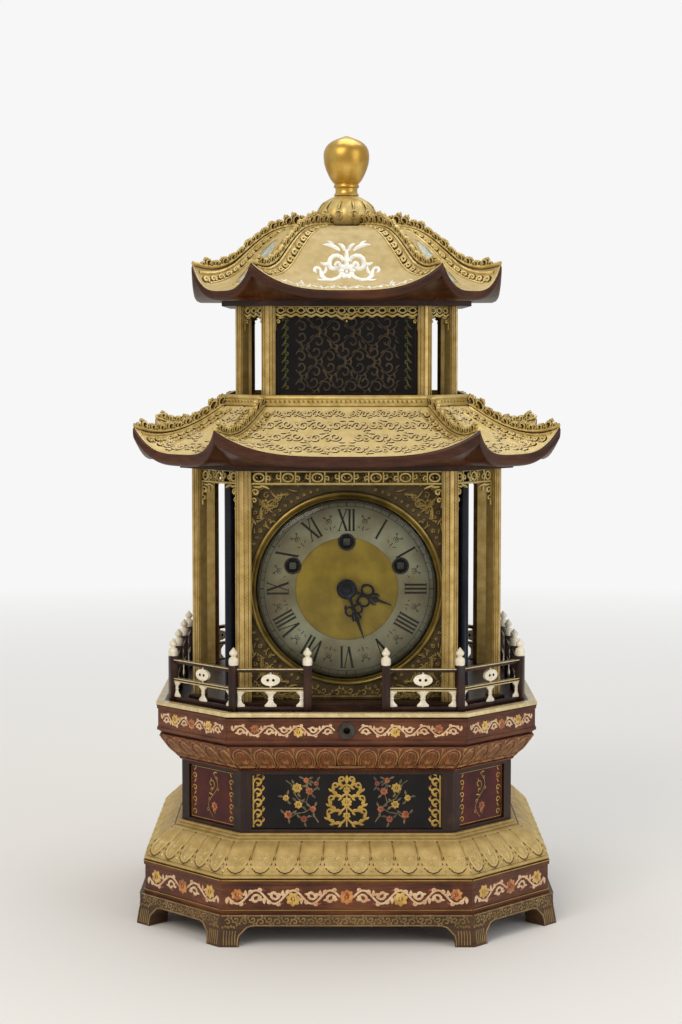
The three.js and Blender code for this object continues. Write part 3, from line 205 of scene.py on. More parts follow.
def dialSilver(name):
    # silvered brass, brushed in circles, tarnished to olive and brown towards the rim
    material, tree = startMaterial(name)
    place = addNode(tree, "TexCoord")
    flat = addNode(tree, "Mapping", {"Vector": place.outputs["Object"], "Location": (0, 0, -0.307),
                                     "Scale": (1, 0, 1)})
    reach = addNode(tree, "VectorMath", {0: flat}, operation="LENGTH")
    patch = addNode(tree, "TexNoise", {"Vector": stretched(tree, 24), "Scale": 1.0, "Detail": 4.0})
    tone = addNode(tree, "ValToRGB", {"Fac": patch})
    color = setRamp(tone, [(0.3, "6C5A40"), (0.47, "8A8064"), (0.68, "A8A690")])
    rim = addNode(tree, "MapRange", {"Value": reach.outputs["Value"], "From Min": 0.062, "From Max": 0.079,
                                     "To Max": 0.85})
    aged = addNode(tree, "Mix", {0: rim, 6: color, 7: fromHex("443C2C")}, data_type="RGBA")
    rings = addNode(tree, "TexNoise", {"W": reach.outputs["Value"], "Scale": 5200.0, "Detail": 2.0},
                    noise_dimensions="1D")
    brushed = addNode(tree, "Bump", {"Height": rings, "Strength": 0.2, "Distance": 0.0001})
    gloss = addNode(tree, "MapRange", {"Value": patch, "To Min": 0.55, "To Max": 0.36})
    shader = addNode(tree, "BsdfPrincipled", {"Base Color": aged.outputs[2], "Metallic": 0.45,
                                              "Roughness": gloss, "Normal": brushed})
    return endMaterial(material, tree, shader)


def domeGlass(name):
    # blown crown glass over the dial: clear, a trace of green, light passes to what is behind
    material, tree = startMaterial(name)
    ripple = addNode(tree, "TexNoise", {"Vector": stretched(tree, 14), "Scale": 1.0, "Detail": 1.0})
    wave = addNode(tree, "Bump", {"Height": ripple, "Strength": 0.1, "Distance": 0.0006})
    clear = addNode(tree, "BsdfTransparent", {"Color": fromHex("F3F7F3")})
    shine = addNode(tree, "BsdfGlossy", {"Color": fromHex("FFFFFF"), "Roughness": 0.03, "Normal": wave})
    slant = addNode(tree, "Fresnel", {"IOR": 1.28, "Normal": wave})
    both = addNode(tree, "MixShader", {0: slant, 1: clear, 2: shine})
    return endMaterial(material, tree, both)


finish = {
    "postWood": hardwood("zitanUpright", (420, 420, 26)),
    "railWood": hardwood("zitanAcross", (60, 60, 520)),
    "footWood": hardwood("zitanCarved", (60, 60, 420), ("332212", "50361E", "6E4E2E"), 0.42, "8A6C46"),
    "friezeWood": hardwood("redSandalwood", (50, 50, 460), ("3C1A0C", "5C3018", "784628"), 0.3, "8A5834"),
    "caseWood": hardwood("zitanCase", (50, 50, 380), ("1B0F0C", "33201A", "4A2E24"), 0.36),
    "lowerLotus": carvedGilt("gildedLotus", "CAAC6C", "AE9250", "33200C", 4.0, 0.4, 0.25),
    "upperLotus": carvedGilt("stainedLotus", "824520", "5E3014", "241007", 2.2, 0.4, 0.05),
    "roofGround": carvedGilt("gildedRoof", "C4AE78", "B09A62", "5A3A1C", 3.0, 0.52, 0.1, 1500.0),
    # painted light: the same roof gilding made lighter for the lower roof, standing in for light
    "litLowerRoofGround": carvedGilt("gildedRoofLitCopy", "E8D092", "D4BC7C", "6A4822", 3.0, 0.52, 0.06, 1500.0),
    "eaveWood": hardwood("zitanEave", (60, 60, 520), ("2C1406", "421F0C", "5A3014"), 0.34),
    "roofScroll": carvedGilt("gildedScroll", "ECD8A0", "D8C086", "6A4520", 2.4, 0.44, 0.1),
    "openwork": carvedGilt("gildedOpenwork", "E0C882", "BA9C50", "3A250A", 2.6, 0.34, 0.4),
    "column": carvedGilt("gildedColumn", "D0B272", "AE9048", "46300F", 1.4, 0.32, 0.55),
    "finialGilt": metal("fireGilt", "DDB862", "BE9440", 0.28, (500, 500, 60), 0.12, 0.85),
    "redShell": shellInlay("redHornInlay", [(0.1, "7A2A18"), (0.4, "A8442A"), (0.7, "C46A48")], 0.25),
    "redPaint": shellInlay("orangePaint", [(0.1, "7A3418"), (0.4, "B4602A"), (0.7, "C88A48")], 0.45),
    "greenPaint": shellInlay("leafPaint", [(0.1, "3A3420"), (0.4, "6A5A34"), (0.7, "8A7444")], 0.45),
    "columnStipple": carvedGilt("stippledColumn", "A98C4A", "80652E", "3A260A", 1.0, 0.4, 0.85),
    "greenGilt": carvedGilt("greenGilding", "6E6A38", "48482A", "14120A", 1.8, 0.4, 0.5),
    # pale finish: on the deck edge it is a painted highlight; also the pale lines on the rails and along the
    # eaves
    "paleEdge": shellInlay("paleEdge", [(0.1, "C6AE7A"), (0.4, "DAC892"), (0.7, "B69C62")], 0.28),
    "blackWax": lacquer("blackWax", "0E0D0B", "1A1814", 0.35),
    # painted shade: brass coloured near black so the winding-hole rims and the movement plate behind them
    # read as the shade inside the holes
    "holeShadeBrass": metal("holeShadeBrass", "33261A", "1A120B", 0.4, (300, 300, 300), 0.1, 0.4),
    "spandrelGilt": carvedGilt("spandrelGilding", "A68E4E", "7E6834", "241A0A", 1.4, 0.4, 0.6),
    "bezelGilt": metal("bezelBrass", "A89252", "7E6C38", 0.3, (40, 40, 400), 0.08, 0.85),
    # painted shade: dark finish for the beds beside raised strokes, sunk outlines and openwork eyes, where
    # shade falls
    "hollow": lacquer("paintedHollowShade", "24160A", "3A2412", 0.6),
    "lotusRim": carvedGilt("rubbedRim", "B08A58", "8C663E", "2E180C", 1.2, 0.4, 0.2),
    "lotusLine": carvedGilt("lotusHighlight", "DCC68A", "BCA262", "3A2810", 1.2, 0.38, 0.3),
    "greySteel": metal("greySteel", "56544E", "302E2A", 0.36, (300, 300, 300), 0.2, 0.7),
    "footCarved": carvedGilt("wornCarving", "A68A58", "76603A", "241C0E", 1.6, 0.46, 0.3),
    "blackLacquer": lacquer("blackLacquer", "080606", "17110F"),
    "redLacquer": lacquer("redLacquer", "3A0F0C", "591C15"),
    "nightLacquer": lacquer("nightLacquer", "0B0D14", "1C2230", 0.1),
    "paintGold": carvedGilt("paintedGold", "C6A454", "A6843A", "5A3D12", 0.6, 0.4, 0.55),
    "pearl": shellInlay("pearlInlay", [(0.1, "C89C70"), (0.3, "DEC096"), (0.55, "C88E66")]),
    "amber": shellInlay("amberHornInlay", [(0.1, "8E4A1C"), (0.35, "C47A34"), (0.6, "D9A05A")]),
    "goldShell": shellInlay("goldShellInlay", [(0.1, "B98A36"), (0.4, "D6B056"), (0.7, "E6CC86")]),
    "whiteShell": shellInlay("whiteShellInlay", [(0.1, "DADAD0"), (0.35, "F0EFE6"), (0.6, "CFE0D6")], 0.14),
    "greyShell": shellInlay("greyShellInlay", [(0.1, "8F9A8C"), (0.35, "B4B8A6"), (0.6, "76806E")], 0.25),
    "bone": shellInlay("turnedBone", [(0.1, "E2D6BB"), (0.4, "F2EAD6"), (0.7, "D9C79E")], 0.3),
    "silvered": dialSilver("silveredBrass"),
    "mattBrass": metal("mattBrass", "A88C30", "907624", 0.55, (1200, 1200, 1200), 0.3, 0.5),
    "engraved": carvedGilt("engravedBrass", "57482A", "3A2E1A", "120D05", 1.4, 0.45, 0.6),
    "plateBrass": metal("polishedBrass", "C2A050", "9C7E3A", 0.28, (40, 40, 700)),
    "steel": metal("polishedSteel", "A8AAAC", "7C7E80", 0.28, (40, 40, 700)),
    "bluedSteel": metal("bluedSteel", "2B2C33", "1C1C20", 0.3, (600, 600, 600)),
    "darkCarving": carvedGilt("darkCarving", "5C4C34", "382E20", "0C0907", 2.4, 0.36, 0.3),
    "glass": domeGlass("crownGlass"),
}
print("finishes made:", len(finish))


def dress(names, key):
    for name in names:
        mesh = nodes[name].data
        mesh.materials.clear()
        mesh.materials.append(finish[key])


columnNames = [name for name in nodes if name.startswith("column_")]
dress(["foot_frame"], "footWood")
dress(["lower_frieze", "upper_frieze", "drawer_front"], "friezeWood")
dress(["lower_lotus_band"], "lowerLotus")
dress(["upper_lotus_band"], "upperLotus")
dress(["waist_frame"], "postWood")
dress(["waist_panel_front", "waist_panel_right", "waist_panel_rear", "waist_panel_left", "upper_case"],
      "blackLacquer")
dress(["deck", "storey_sill", "lower_ceiling", "upper_ceiling", "upper_floor", "drawer_board", "drawer_tray",
       "balustrade_left", "balustrade_right"], "railWood")
dress(["clock_case", "rear_door"], "caseWood")
dress(columnNames + ["lower_valance", "upper_colonnade", "drawer_escutcheon"], "column")
dress(["lower_ridge", "upper_ridge"], "openwork")
dress(["lower_roof", "upper_roof"], "roofGround")
dress(["finial", "bezel"], "finialGilt")
dress(["chapter_ring"], "silvered")
dress(["dial_plate"], "engraved")
dress(["bezel_glass"], "glass")
dress(["hour_hand", "minute_hand"], "bluedSteel")
# painted shade: the movement plate behind the winding holes is coloured near black
dress(["movement_front_plate"], "holeShadeBrass")
dress(["movement_back_plate", "barrel_going", "barrel_strike", "barrel_chime",
       "centre_wheel", "third_wheel", "escape_wheel", "pendulum", "bell"], "plateBrass")
dress(["anchor"], "steel")
dress(["winding_arbor_going", "winding_arbor_strike", "winding_arbor_chime"], "greySteel")


# Shared shapes: level plans, grids, strokes, turned and eight-sided mouldings
plans = {  # half the width over the flats, and the leg of the cut corner
    "foot": (190.7, 79.2), "frieze": (184, 74), "waist": (150, 56), "upperFrieze": (171.6, 65.9),
    "deck": (172.2, 66.4), "columns": (139.8, 46.3), "lowerEave": (190, 76), "lowerRoofTop": (112, 37),
    "upperColumns": (101, 29.1), "upperEave": (139, 55), "upperRoofTop": (34, 13),
}
allSides = range(8)  # from the front, counter-clockwise seen from above; even ones are the flats


def shrink(plan, distance):
    return plan[0] - distance, plan[1] - distance * (2 - math.sqrt(2))


def sideOf(plan, n):  # half length of side n and its distance from the middle
    half, cut = plan
    if n % 2 == 0:
        return half - cut, half
    return cut / math.sqrt(2), (2 * half - cut) / math.sqrt(2)


def mix(a, b, t):
    return a + (b - a) * t


def mixPlan(a, b, t):
    return mix(a[0], b[0], t), mix(a[1], b[1], t)


def turned(n):
    return Matrix.Rotation(n * math.pi / 4, 3, "Z")


def onSide(n, distance):  # a flat pattern (x right, y up, h outward) laid on side n, in metres
    turn = turned(n)
    return lambda x, y, h: turn @ Vector((x, -(distance + h), y)) * mm


def addTo(bm, part, index=0, place=None):  # join a part to the piece, each point put where place says
    for vert in part.verts:
        if place:
            vert.co = place(*vert.co)
    for face in part.faces:
        face.material_index = index
    mesh = bpy.data.meshes.new("part")
    part.to_mesh(mesh)
    part.free()
    bm.from_mesh(mesh)
    bpy.data.meshes.remove(mesh)


def addStrokes(bm, strokes, place, lift=0.6, index=0, resolution=1):
    # a stroke is (points, half widths) in flat millimetres; lift is its height over its half width
    curve = bpy.data.curves.new("strokes", "CURVE")
    curve.dimensions = "3D"
    curve.bevel_depth = 1.0
    curve.bevel_resolution = resolution
    curve.use_fill_caps = True
    for points, widths in strokes:
        spline = curve.splines.new("POLY")
        spline.points.add(len(points) - 1)
        for knot, (x, y), width in zip(spline.points, points, widths):
            knot.co = (x, y, 0, 1)
            knot.radius = width
    holder = bpy.data.objects.new("strokes", curve)
    mesh = bpy.data.meshes.new_from_object(holder)
    part = bmesh.new()
    part.from_mesh(mesh)
    bpy.data.objects.remove(holder)
    bpy.data.curves.remove(curve)
    bpy.data.meshes.remove(mesh)
    addTo(bm, part, index, lambda x, y, h: place(x, y, h * lift))


def addGrid(bm, columns, rows, place, index=0):  # u runs right and v up, both 0 to 1
    part = bmesh.new()
    bmesh.ops.create_grid(part, x_segments=columns, y_segments=rows, size=0.5)
    addTo(bm, part, index, lambda x, y, h: place(x + 0.5, y + 0.5))


def inMetres(x, y, z):
    return Vector((x, y, z)) * mm


def addBox(bm, low, high, index=0, place=inMetres, soft=0.0):  # soft is the size of its bevelled edges
    size = [high[i] - low[i] for i in range(3)]
    middle = [(high[i] + low[i]) / 2 for i in range(3)]
    part = bmesh.new()
    bmesh.ops.create_cube(part, size=1.0, matrix=Matrix.Translation(middle) @ Matrix.Diagonal((*size, 1)))
    if soft:
        bmesh.ops.bevel(part, geom=part.edges[:], offset=soft, affect="EDGES", segments=2, profile=0.5,
                        material=-1)
    addTo(bm, part, index, place)


def addTurned(bm, profile, centre, axis="Z", steps=32, index=0, shape=None):
    # profile is (radius, height) from the foot up; height runs along +Z, or towards the back with axis Y
    part = bmesh.new()
    start = [part.verts.new((radius, 0, height)) for radius, height in profile]
    edges = [part.edges.new(pair) for pair in zip(start, start[1:])]
    bmesh.ops.spin(part, geom=start + edges, cent=(0, 0, 0), axis=(0, 0, 1), angle=2 * math.pi, steps=steps,
                   use_merge=True)
    bmesh.ops.remove_doubles(part, verts=part.verts, dist=0.001)
    bmesh.ops.recalc_face_normals(part, faces=part.faces)
    if shape:
        for vert in part.verts:
            vert.co = shape(vert.co)
    if axis == "Y":
        bmesh.ops.rotate(part, verts=part.verts, cent=(0, 0, 0), matrix=Matrix.Rotation(-math.pi / 2, 3, "X"))
    bmesh.ops.translate(part, verts=part.verts, vec=Vector(centre))
    addTo(bm, part, index, inMetres)


def addOctagon(bm, stations, index=0, loop=False):
    # an eight-sided moulding drawn through its stations, each (plan, height)
    part = bmesh.new()

    def corner(co, plan, height):
        near = plan[0] - plan[1]
        x, y = (near, plan[0]) if abs(co.x) < abs(co.y) else (plan[0], near)
        return Vector((math.copysign(x, co.x), math.copysign(y, co.y), height))

    (plan, height), rest = stations[0], stations[1:]
    near = plan[0] - plan[1]
    ring = [(-near, -plan[0]), (near, -plan[0]), (plan[0], -near), (plan[0], near),
            (near, plan[0]), (-near, plan[0]), (-plan[0], near), (-plan[0], -near)]
    verts = [part.verts.new((x, y, height)) for x, y in ring]
    edges = first = [part.edges.new((verts[i], verts[(i + 1) % 8])) for i in range(8)]
    for plan, height in rest:
        made = bmesh.ops.extrude_edge_only(part, edges=edges)["geom"]
        edges = [item for item in made if isinstance(item, bmesh.types.BMEdge)]
        for vert in (item for item in made if isinstance(item, bmesh.types.BMVert)):
            vert.co = corner(vert.co, plan, height)
    if loop:
        bmesh.ops.bridge_loops(part, edges=edges + first)
    bmesh.ops.recalc_face_normals(part, faces=part.faces)
    addTo(bm, part, index, inMetres)


def addOval(bm, place, x, y, wide, tall, thick, index=0, segments=28):
    # a flat oval plate, thick to both sides
    part = bmesh.new()
    bmesh.ops.create_cone(part, cap_ends=True, segments=segments, radius1=1, radius2=1, depth=2)
    rims = [edge for edge in part.edges if abs(edge.verts[0].co.z - edge.verts[1].co.z) < 0.1]
    bmesh.ops.bevel(part, geom=rims, offset=0.12, affect="EDGES", segments=2, profile=0.5, material=-1)
    addTo(bm, part, index, lambda a, b, c: place(x + a * wide, y + b * tall, c * thick))


def finishPiece(name, bm, keys, body="structure", replaced=(), sharp=38):
    bmesh.ops.remove_doubles(bm, verts=bm.verts, dist=0.000004)
    mesh = bpy.data.meshes.new(name)
    bm.to_mesh(mesh)
    bm.free()
    for key in keys:
        mesh.materials.append(finish[key])
    mesh.shade_smooth()
    mesh.set_sharp_from_angle(angle=math.radians(sharp))
    piece = bpy.data.objects.new(name, mesh)
    bpy.context.scene.collection.objects.link(piece)
    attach(piece, body)
    if replaced:
        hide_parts(*replaced)


# Scrolls, leaves and blossoms in flat millimetres, all as strokes

def curl(x, y, heading, radius, turns, width, hand=1, steps=11, eye=1.45):
    # a tendril that winds in from (x, y) to a round eye
    cx, cy = x - hand * radius * math.sin(heading), y + hand * radius * math.cos(heading)
    start = math.atan2(y - cy, x - cx)
    points, widths = [], []
    for i in range(steps + 1):
        t = i / steps
        reach = radius * (1 - 0.78 * t)
        angle = start + hand * turns * 2 * math.pi * t
        points.append((cx + reach * math.cos(angle), cy + reach * math.sin(angle)))
        widths.append(width * (0.45 + 0.55 * math.sin(math.pi * min(1, 0.25 + 0.6 * (1 - t)))))
    widths[-1] = width * eye
    widths[-2] = width * (eye + 0.6) / 2
    return points, widths


def leaf(x, y, heading, length, width, bend=0.0, steps=5):
    # a blade that swells, bends and closes to a point
    points, widths = [(x, y)], [width * 0.35]
    for i in range(steps):
        t = (i + 1) / steps
        angle = heading + bend * (t - 0.5 / steps)
        x, y = x + length / steps * math.cos(angle), y + length / steps * math.sin(angle)
        points.append((x, y))
        widths.append(width * max(0.12, math.sin(math.pi * (0.15 + 0.82 * t)) ** 0.8))
    return points, widths


def line(points, width):
    return points, [width] * len(points)


def cornersOf(half, low, high):  # a closed upright frame
    return [(-half, low), (half, low), (half, high), (-half, high), (-half, low)]


def dot(x, y, width):
    return [(x - width * 0.5, y), (x, y), (x + width * 0.5, y)], [width * 0.7, width, width * 0.7]


def arc(x, y, radius, start, end, width, steps=10, flat=1.0):
    angles = [math.radians(mix(start, end, i / steps)) for i in range(steps + 1)]
    return line([(x + radius * math.cos(a), y + flat * radius * math.sin(a)) for a in angles], width)


def blossom(x, y, radius, petals=6, turn=0.0):
    strokes = [dot(x, y, radius * 0.3)]
    for i in range(petals):
        angle = turn + 2 * math.pi * i / petals
        strokes.append(leaf(x + 0.3 * radius * math.cos(angle), y + 0.3 * radius * math.sin(angle), angle,
                            radius * 0.7, radius * 0.34))
    return strokes


def flipped(strokes):
    return [([(-x, y) for x, y in points], widths) for points, widths in strokes]


def bothWays(strokes):
    return strokes + flipped(strokes)


def twisted(strokes, degrees):
    cos, sin = math.cos(math.radians(degrees)), math.sin(math.radians(degrees))
    return [([(x * cos - y * sin, x * sin + y * cos) for x, y in points], widths)
            for points, widths in strokes]


def shifted(strokes, dx, dy, scale=1.0):
    return [([(x * scale + dx, y * scale + dy) for x, y in points], [w * scale for w in widths])
            for points, widths in strokes]


def paintedShadowBeds(strokes, dx=0.5, dy=-0.7, grow=1.2):  # painted shadow: the dark bed that lies beside and under raised strokes
    return [([(x + dx, y + dy) for x, y in points], [w * grow for w in widths]) for points, widths in strokes]


def scrollRun(start, end, middle, high, width, blooms=()):
    # a wavy stem with a scroll under each wave; cells listed in blooms stay free for a blossom
    strokes, beds = [], []
    count = max(2, round((end - start) / (high * 0.96)))
    pitch = (end - start) / count
    swing = 0.33 * high
    stem = [(start + pitch * i / 8, middle + swing * math.sin(math.pi * i / 8)) for i in range(count * 8 + 1)]
    strokes.append(line(stem, width * 0.75))
    for i in range(count):
        up = 1 if i % 2 == 0 else -1
        x, y = start + pitch * (i + 0.5), middle - up * 0.11 * high
        radius = 0.27 * high
        if i in blooms:
            beds.append((x, y))
        else:
            strokes += [curl(x - radius, y, up * math.pi / 2, radius, 1.0, width, -up, 10, 1.5),
                        leaf(x + 0.1 * high, y + up * 0.05 * high, -up * 0.8, 0.28 * high, width,
                             0.9 * up, 4)]
        crest = middle + up * 0.9 * swing
        strokes += [curl(x - 0.12 * pitch, crest, up * 1.2, 0.1 * high, 0.8, width * 0.9, up, 6, 1.5),
                    curl(x + 0.2 * pitch, crest, up * 0.9, 0.1 * high, 0.8, width * 0.9, -up, 6, 1.5),
                    leaf(x + 0.48 * pitch, middle, up * 1.0, 0.36 * high, width * 1.3, 0.8 * up, 4),
                    curl(x - 0.36 * pitch, middle - up * 0.08 * high, -up * 1.4, 0.12 * high, 0.85, width,
                         up, 6, 1.5)]
    return strokes, beds


def stretchedUp(strokes, foot, factor):  # taller about the line y = foot
    return [([(x, foot + (y - foot) * factor) for x, y in points], widths) for points, widths in strokes]


def vine(left, right, middle, swing, pitch, width, offset=0):
    # a wavy stem with a curl and two leaves at each swing
    strokes, stem = [], []
    count = max(1, round((right - left) / pitch))
    step = (right - left) / count
    for i in range(count * 6 + 1):
        x = left + step * i / 6
        stem.append((x, middle + 0.45 * swing * math.sin(math.pi * i / 6 + math.pi * offset)))
    strokes.append(line(stem, width * 0.55))
    for i in range(count):
        up = 1 if (i + offset) % 2 == 0 else -1
        x = left + step * (i + 0.5)
        y = middle + 0.45 * swing * up
        strokes += [curl(x - step * 0.3, middle + 0.2 * swing * up, 0.35 * up, swing * 0.42, 0.8, width, -up),
                    leaf(x, y, up * 2.2, swing * 0.55, width * 1.3, -0.8 * up),
                    leaf(x + step * 0.2, y - up * 0.2 * swing, up * 0.9, swing * 0.5, width * 1.2, 0.9 * up),
                    leaf(x + step * 0.36, middle, -up * 1.2, swing * 0.42, width, 0.8 * up)]
    return strokes


# Base: lotus petals, inlaid friezes, waist panels, carved foot
def bandSurface(stations, n):  # u along side n, v up through the stations by their length
    reach = [0.0]
    for (a, zA), (b, zB) in zip(stations, stations[1:]):
        reach.append(reach[-1] + math.hypot(a[0] - b[0], zA - zB))
    turn = turned(n)

    def surface(u, v):
        far = min(max(v, 0), 1) * reach[-1]
        i = max(k for k in range(len(reach) - 1) if reach[k] <= far + 1e-9)
        t = (far - reach[i]) / (reach[i + 1] - reach[i])
        half, distance = sideOf(mixPlan(stations[i][0], stations[i + 1][0], t), n)
        return turn @ Vector(((2 * u - 1) * half, -distance, mix(stations[i][1], stations[i + 1][1], t)))
    return surface, reach[-1]


def addBand(bm, stations, n, columns, rows, relief):
    # a grid over the band, raised by relief(u, v) millimetres
    surface = bandSurface(stations, n)[0]
    step = 0.004

    def place(u, v):
        right = surface(u + step, v) - surface(u - step, v)
        up = surface(u, v + step) - surface(u, v - step)
        return (surface(u, v) + right.cross(up).normalized() * relief(u, v)) * mm
    addGrid(bm, columns, rows, place)


def fanPlace(stations, n, relief):  # x in millimetres at the widest part of the band, y up along it
    surface, length = bandSurface(stations, n)
    reference = max(sideOf(plan, n)[0] for plan, height in stations)

    def place(x, y, h):
        u, v = 0.5 + x / (2 * reference), y / length
        right = surface(u + 0.01, v) - surface(u - 0.01, v)
        up = surface(u, v + 0.01) - surface(u, v - 0.01)
        return (surface(u, v) + right.cross(up).normalized() * (h + relief(u, v))) * mm
    return place, length, reference


def smoothStep(a, b, value):
    t = min(1, max(0, (value - a) / (b - a)))
    return t * t * (3 - 2 * t)


petalValues = {  # counts are for a flat and for a bevel; stations are (share of the slope, height)
    "lowerCount": (10, 5), "upperCount": (11, 5), "clear": 0.3, "perPetal": 14, "rows": 34,
    "lowerPlans": ((183, 74), (156.8, 58)), "upperPlans": (plans["waist"], (168.8, 64.5)),
    "lowerStations": [(0.05, 62), (0.12, 67.9), (0.24, 71.1), (0.36, 74), (0.66, 80.6), (1, 87)],
    "upperStations": [(0.12, 150.9), (0.45, 157.94), (0.62, 161.5), (0.76, 164.9), (0.88, 168.1),
                      (0.96, 170.7), (1, 172.7)],
}


def lowerPetal(u, v, count):  # petals hanging over the edge, round at their lower ends, full near the top
    phase = (u * count) % 1.0
    aside = abs(phase - 0.5) * 2
    width = math.sqrt(max(0.0, 1 - ((0.42 - v) / 0.42) ** 2)) if v < 0.42 else 1.0
    inside = smoothStep(0.0, 0.1, width - aside)
    bulge = math.sqrt(max(0, 1 - min(1, aside / max(width, 0.05)) ** 2))
    full = 0.9 + 1.5 * math.exp(-((v - 0.72) / 0.2) ** 2) - 0.8 * smoothStep(0.86, 1.0, v)
    rim = math.exp(-((width - aside - 0.12) / 0.05) ** 2) * 0.32
    between = (0.6 * math.exp(-((aside - 1) / 0.16) ** 2) if v < 0.36 else 0) * smoothStep(0.02, 0.12, v)
    rib = 0.22 * math.exp(-(aside / 0.1) ** 2) * smoothStep(0.9, 0.6, v)
    return petalValues["clear"] + inside * (bulge * full + rim + rib) + (1 - inside) * between


def upperPetal(u, v, count):  # upright petals with a raised round rim, a hollow field and a middle line
    phase = (u * count) % 1.0
    aside = abs(phase - 0.5) * 2
    width = math.sqrt(max(0.0, 1 - ((v - 0.36) / 0.6) ** 2)) if v > 0.36 else 1.0
    if v > 0.965:
        width = 0.0
    inside = smoothStep(-0.02, 0.06, width - aside)
    rim = math.exp(-((width - aside - 0.12) / 0.085) ** 2) * 1.25
    inner = math.exp(-((width - aside - 0.34) / 0.05) ** 2) * 0.35
    field = 0.55 * smoothStep(0.3, 0.6, width - aside)
    line = 0.5 * math.exp(-(aside / 0.06) ** 2) * smoothStep(0.86, 0.7, v)
    between = 0.7 * math.exp(-((aside - 1) / 0.1) ** 2) * smoothStep(0.3, 0.5, v) * smoothStep(0.98, 0.9, v)
    return petalValues["clear"] + inside * (rim + inner + field + line) + (1 - inside) * between


def petalStations(band):  # band is "lower" or "upper"
    low, high = petalValues[band + "Plans"]
    return [(mixPlan(low, high, share), height) for share, height in petalValues[band + "Stations"]]


def lowerPetalLines(pitch, length):  # outline, inner line and tracery of one hanging petal
    side, low = 0.47 * pitch, 0.4 * length
    outline = [(-side, 0.93 * length), (-side, low)]
    outline += [(-side * math.cos(t * math.pi / 8),
                 low - 0.37 * length * math.sin(t * math.pi / 8)) for t in range(1, 8)]
    outline += [(side, low), (side, 0.93 * length)]
    inner = [(0.78 * x, y + 0.045 * length) for x, y in outline]
    tracery = bothWays([curl(1.4, 0.2 * length, 0.5, 2.5, 0.85, 0.5, 1, 8),
                        leaf(0.8, 0.36 * length, 1.1, 6, 0.6, -0.6),
                        curl(2.6, 0.47 * length, 1.2, 1.8, 0.85, 0.45, -1, 7)])
    tracery += [leaf(0, 0.12 * length, math.pi / 2, 5.5, 0.6), leaf(0, 0.3 * length, math.pi / 2, 9, 0.5)]
    wedge = [([(pitch / 2, 0.08 * length), (pitch / 2, 0.34 * length)], [1.7, 0.3])]
    return [line(outline, 0.45)], [line(inner, 0.6)] + tracery + wedge


def upperPetalLines(pitch, length):  # double rim and veins of one upright petal, and the wedge beside it
    side, high = 0.45 * pitch, 0.46 * length
    outline = [(-side * 0.9, 0.2 * length), (-side, 0.36 * length), (-side, high)]
    outline += [(-side * math.cos(t * math.pi / 10), high + 0.46 * length * math.sin(t * math.pi / 10))
                for t in range(1, 10)]
    outline += [(side, high), (side, 0.36 * length), (side * 0.9, 0.2 * length)]
    inner = [(0.76 * x, 0.2 * length + 0.84 * (y - 0.2 * length)) for x, y in outline]
    veins = []
    for i in range(7):
        angle = math.radians(24 + 22 * i)
        reachX, reachY = 0.62 * side * math.cos(angle), 0.58 * length * math.sin(angle)
        veins.append(([(0.25 * reachX, 0.2 * length + 0.15 * reachY), (reachX, 0.2 * length + reachY)],
                      [0.5, 0.28]))
    wedge = [([(pitch / 2, 0.97 * length), (pitch / 2, 0.66 * length)], [1.9, 0.25])]
    return [line(outline, 0.72), line(inner, 0.42)] + wedge, veins


def lotusBands():
    bm = bmesh.new()
    for n in allSides:
        count = petalValues["lowerCount"][n % 2]
        stations = petalStations("lower")

        def relief(u, v, count=count):
            return lowerPetal(u, v, count)
        addBand(bm, stations, n, count * petalValues["perPetal"], petalValues["rows"], relief)
        place, length, reference = fanPlace(stations, n, relief)
        pitch = 2 * reference / count
        for i in range(count):
            dark, light = lowerPetalLines(pitch, length)
            middle = -reference + pitch * (i + 0.5)
            # painted shade: the dark outline of each petal stands for the shade in its sunk edge
            addStrokes(bm, shifted(dark, middle, 0), place, 0.5, 1, 0)
            addStrokes(bm, shifted(light, middle, 0), place, 0.8, 2, 0)
        edge = reference - 1
        run = [(-edge + 2 * edge * k / 24, 0.96 * length) for k in range(25)]
        addStrokes(bm, [line(run, 0.6)], place, 0.8, 2)
    finishPiece("lowerLotusPetals", bm, ["lowerLotus", "hollow", "lotusLine"], sharp=60)
    for n in allSides:
        bm = bmesh.new()
        count = petalValues["upperCount"][n % 2]
        stations = petalStations("upper")

        def relief(u, v, count=count):
            return upperPetal(u, v, count)
        addBand(bm, stations, n, count * petalValues["perPetal"], petalValues["rows"], relief)
        place, length, reference = fanPlace(stations, n, relief)
        pitch = 2 * reference / count
        for i in range(count):
            rims, veins = upperPetalLines(pitch, length)
            middle = -reference + pitch * (i + 0.5)
            addStrokes(bm, shifted(rims, middle, 0), place, 0.7, 1, 0)
            addStrokes(bm, shifted(veins, middle, 0), place, 0.6, 1, 0)
        edge = reference - 1.5
        for share, width in ((0.07, 0.5), (0.13, 0.35)):
            run = [(-edge + 2 * edge * k / 24, share * length) for k in range(25)]
            addStrokes(bm, [line(run, width)], place, 0.8, 1, 0)
        finishPiece("upperLotusPetals" + str(n), bm, ["upperLotus", "lotusRim"],
                    body="drawer" if n == 0 else "structure", sharp=60)


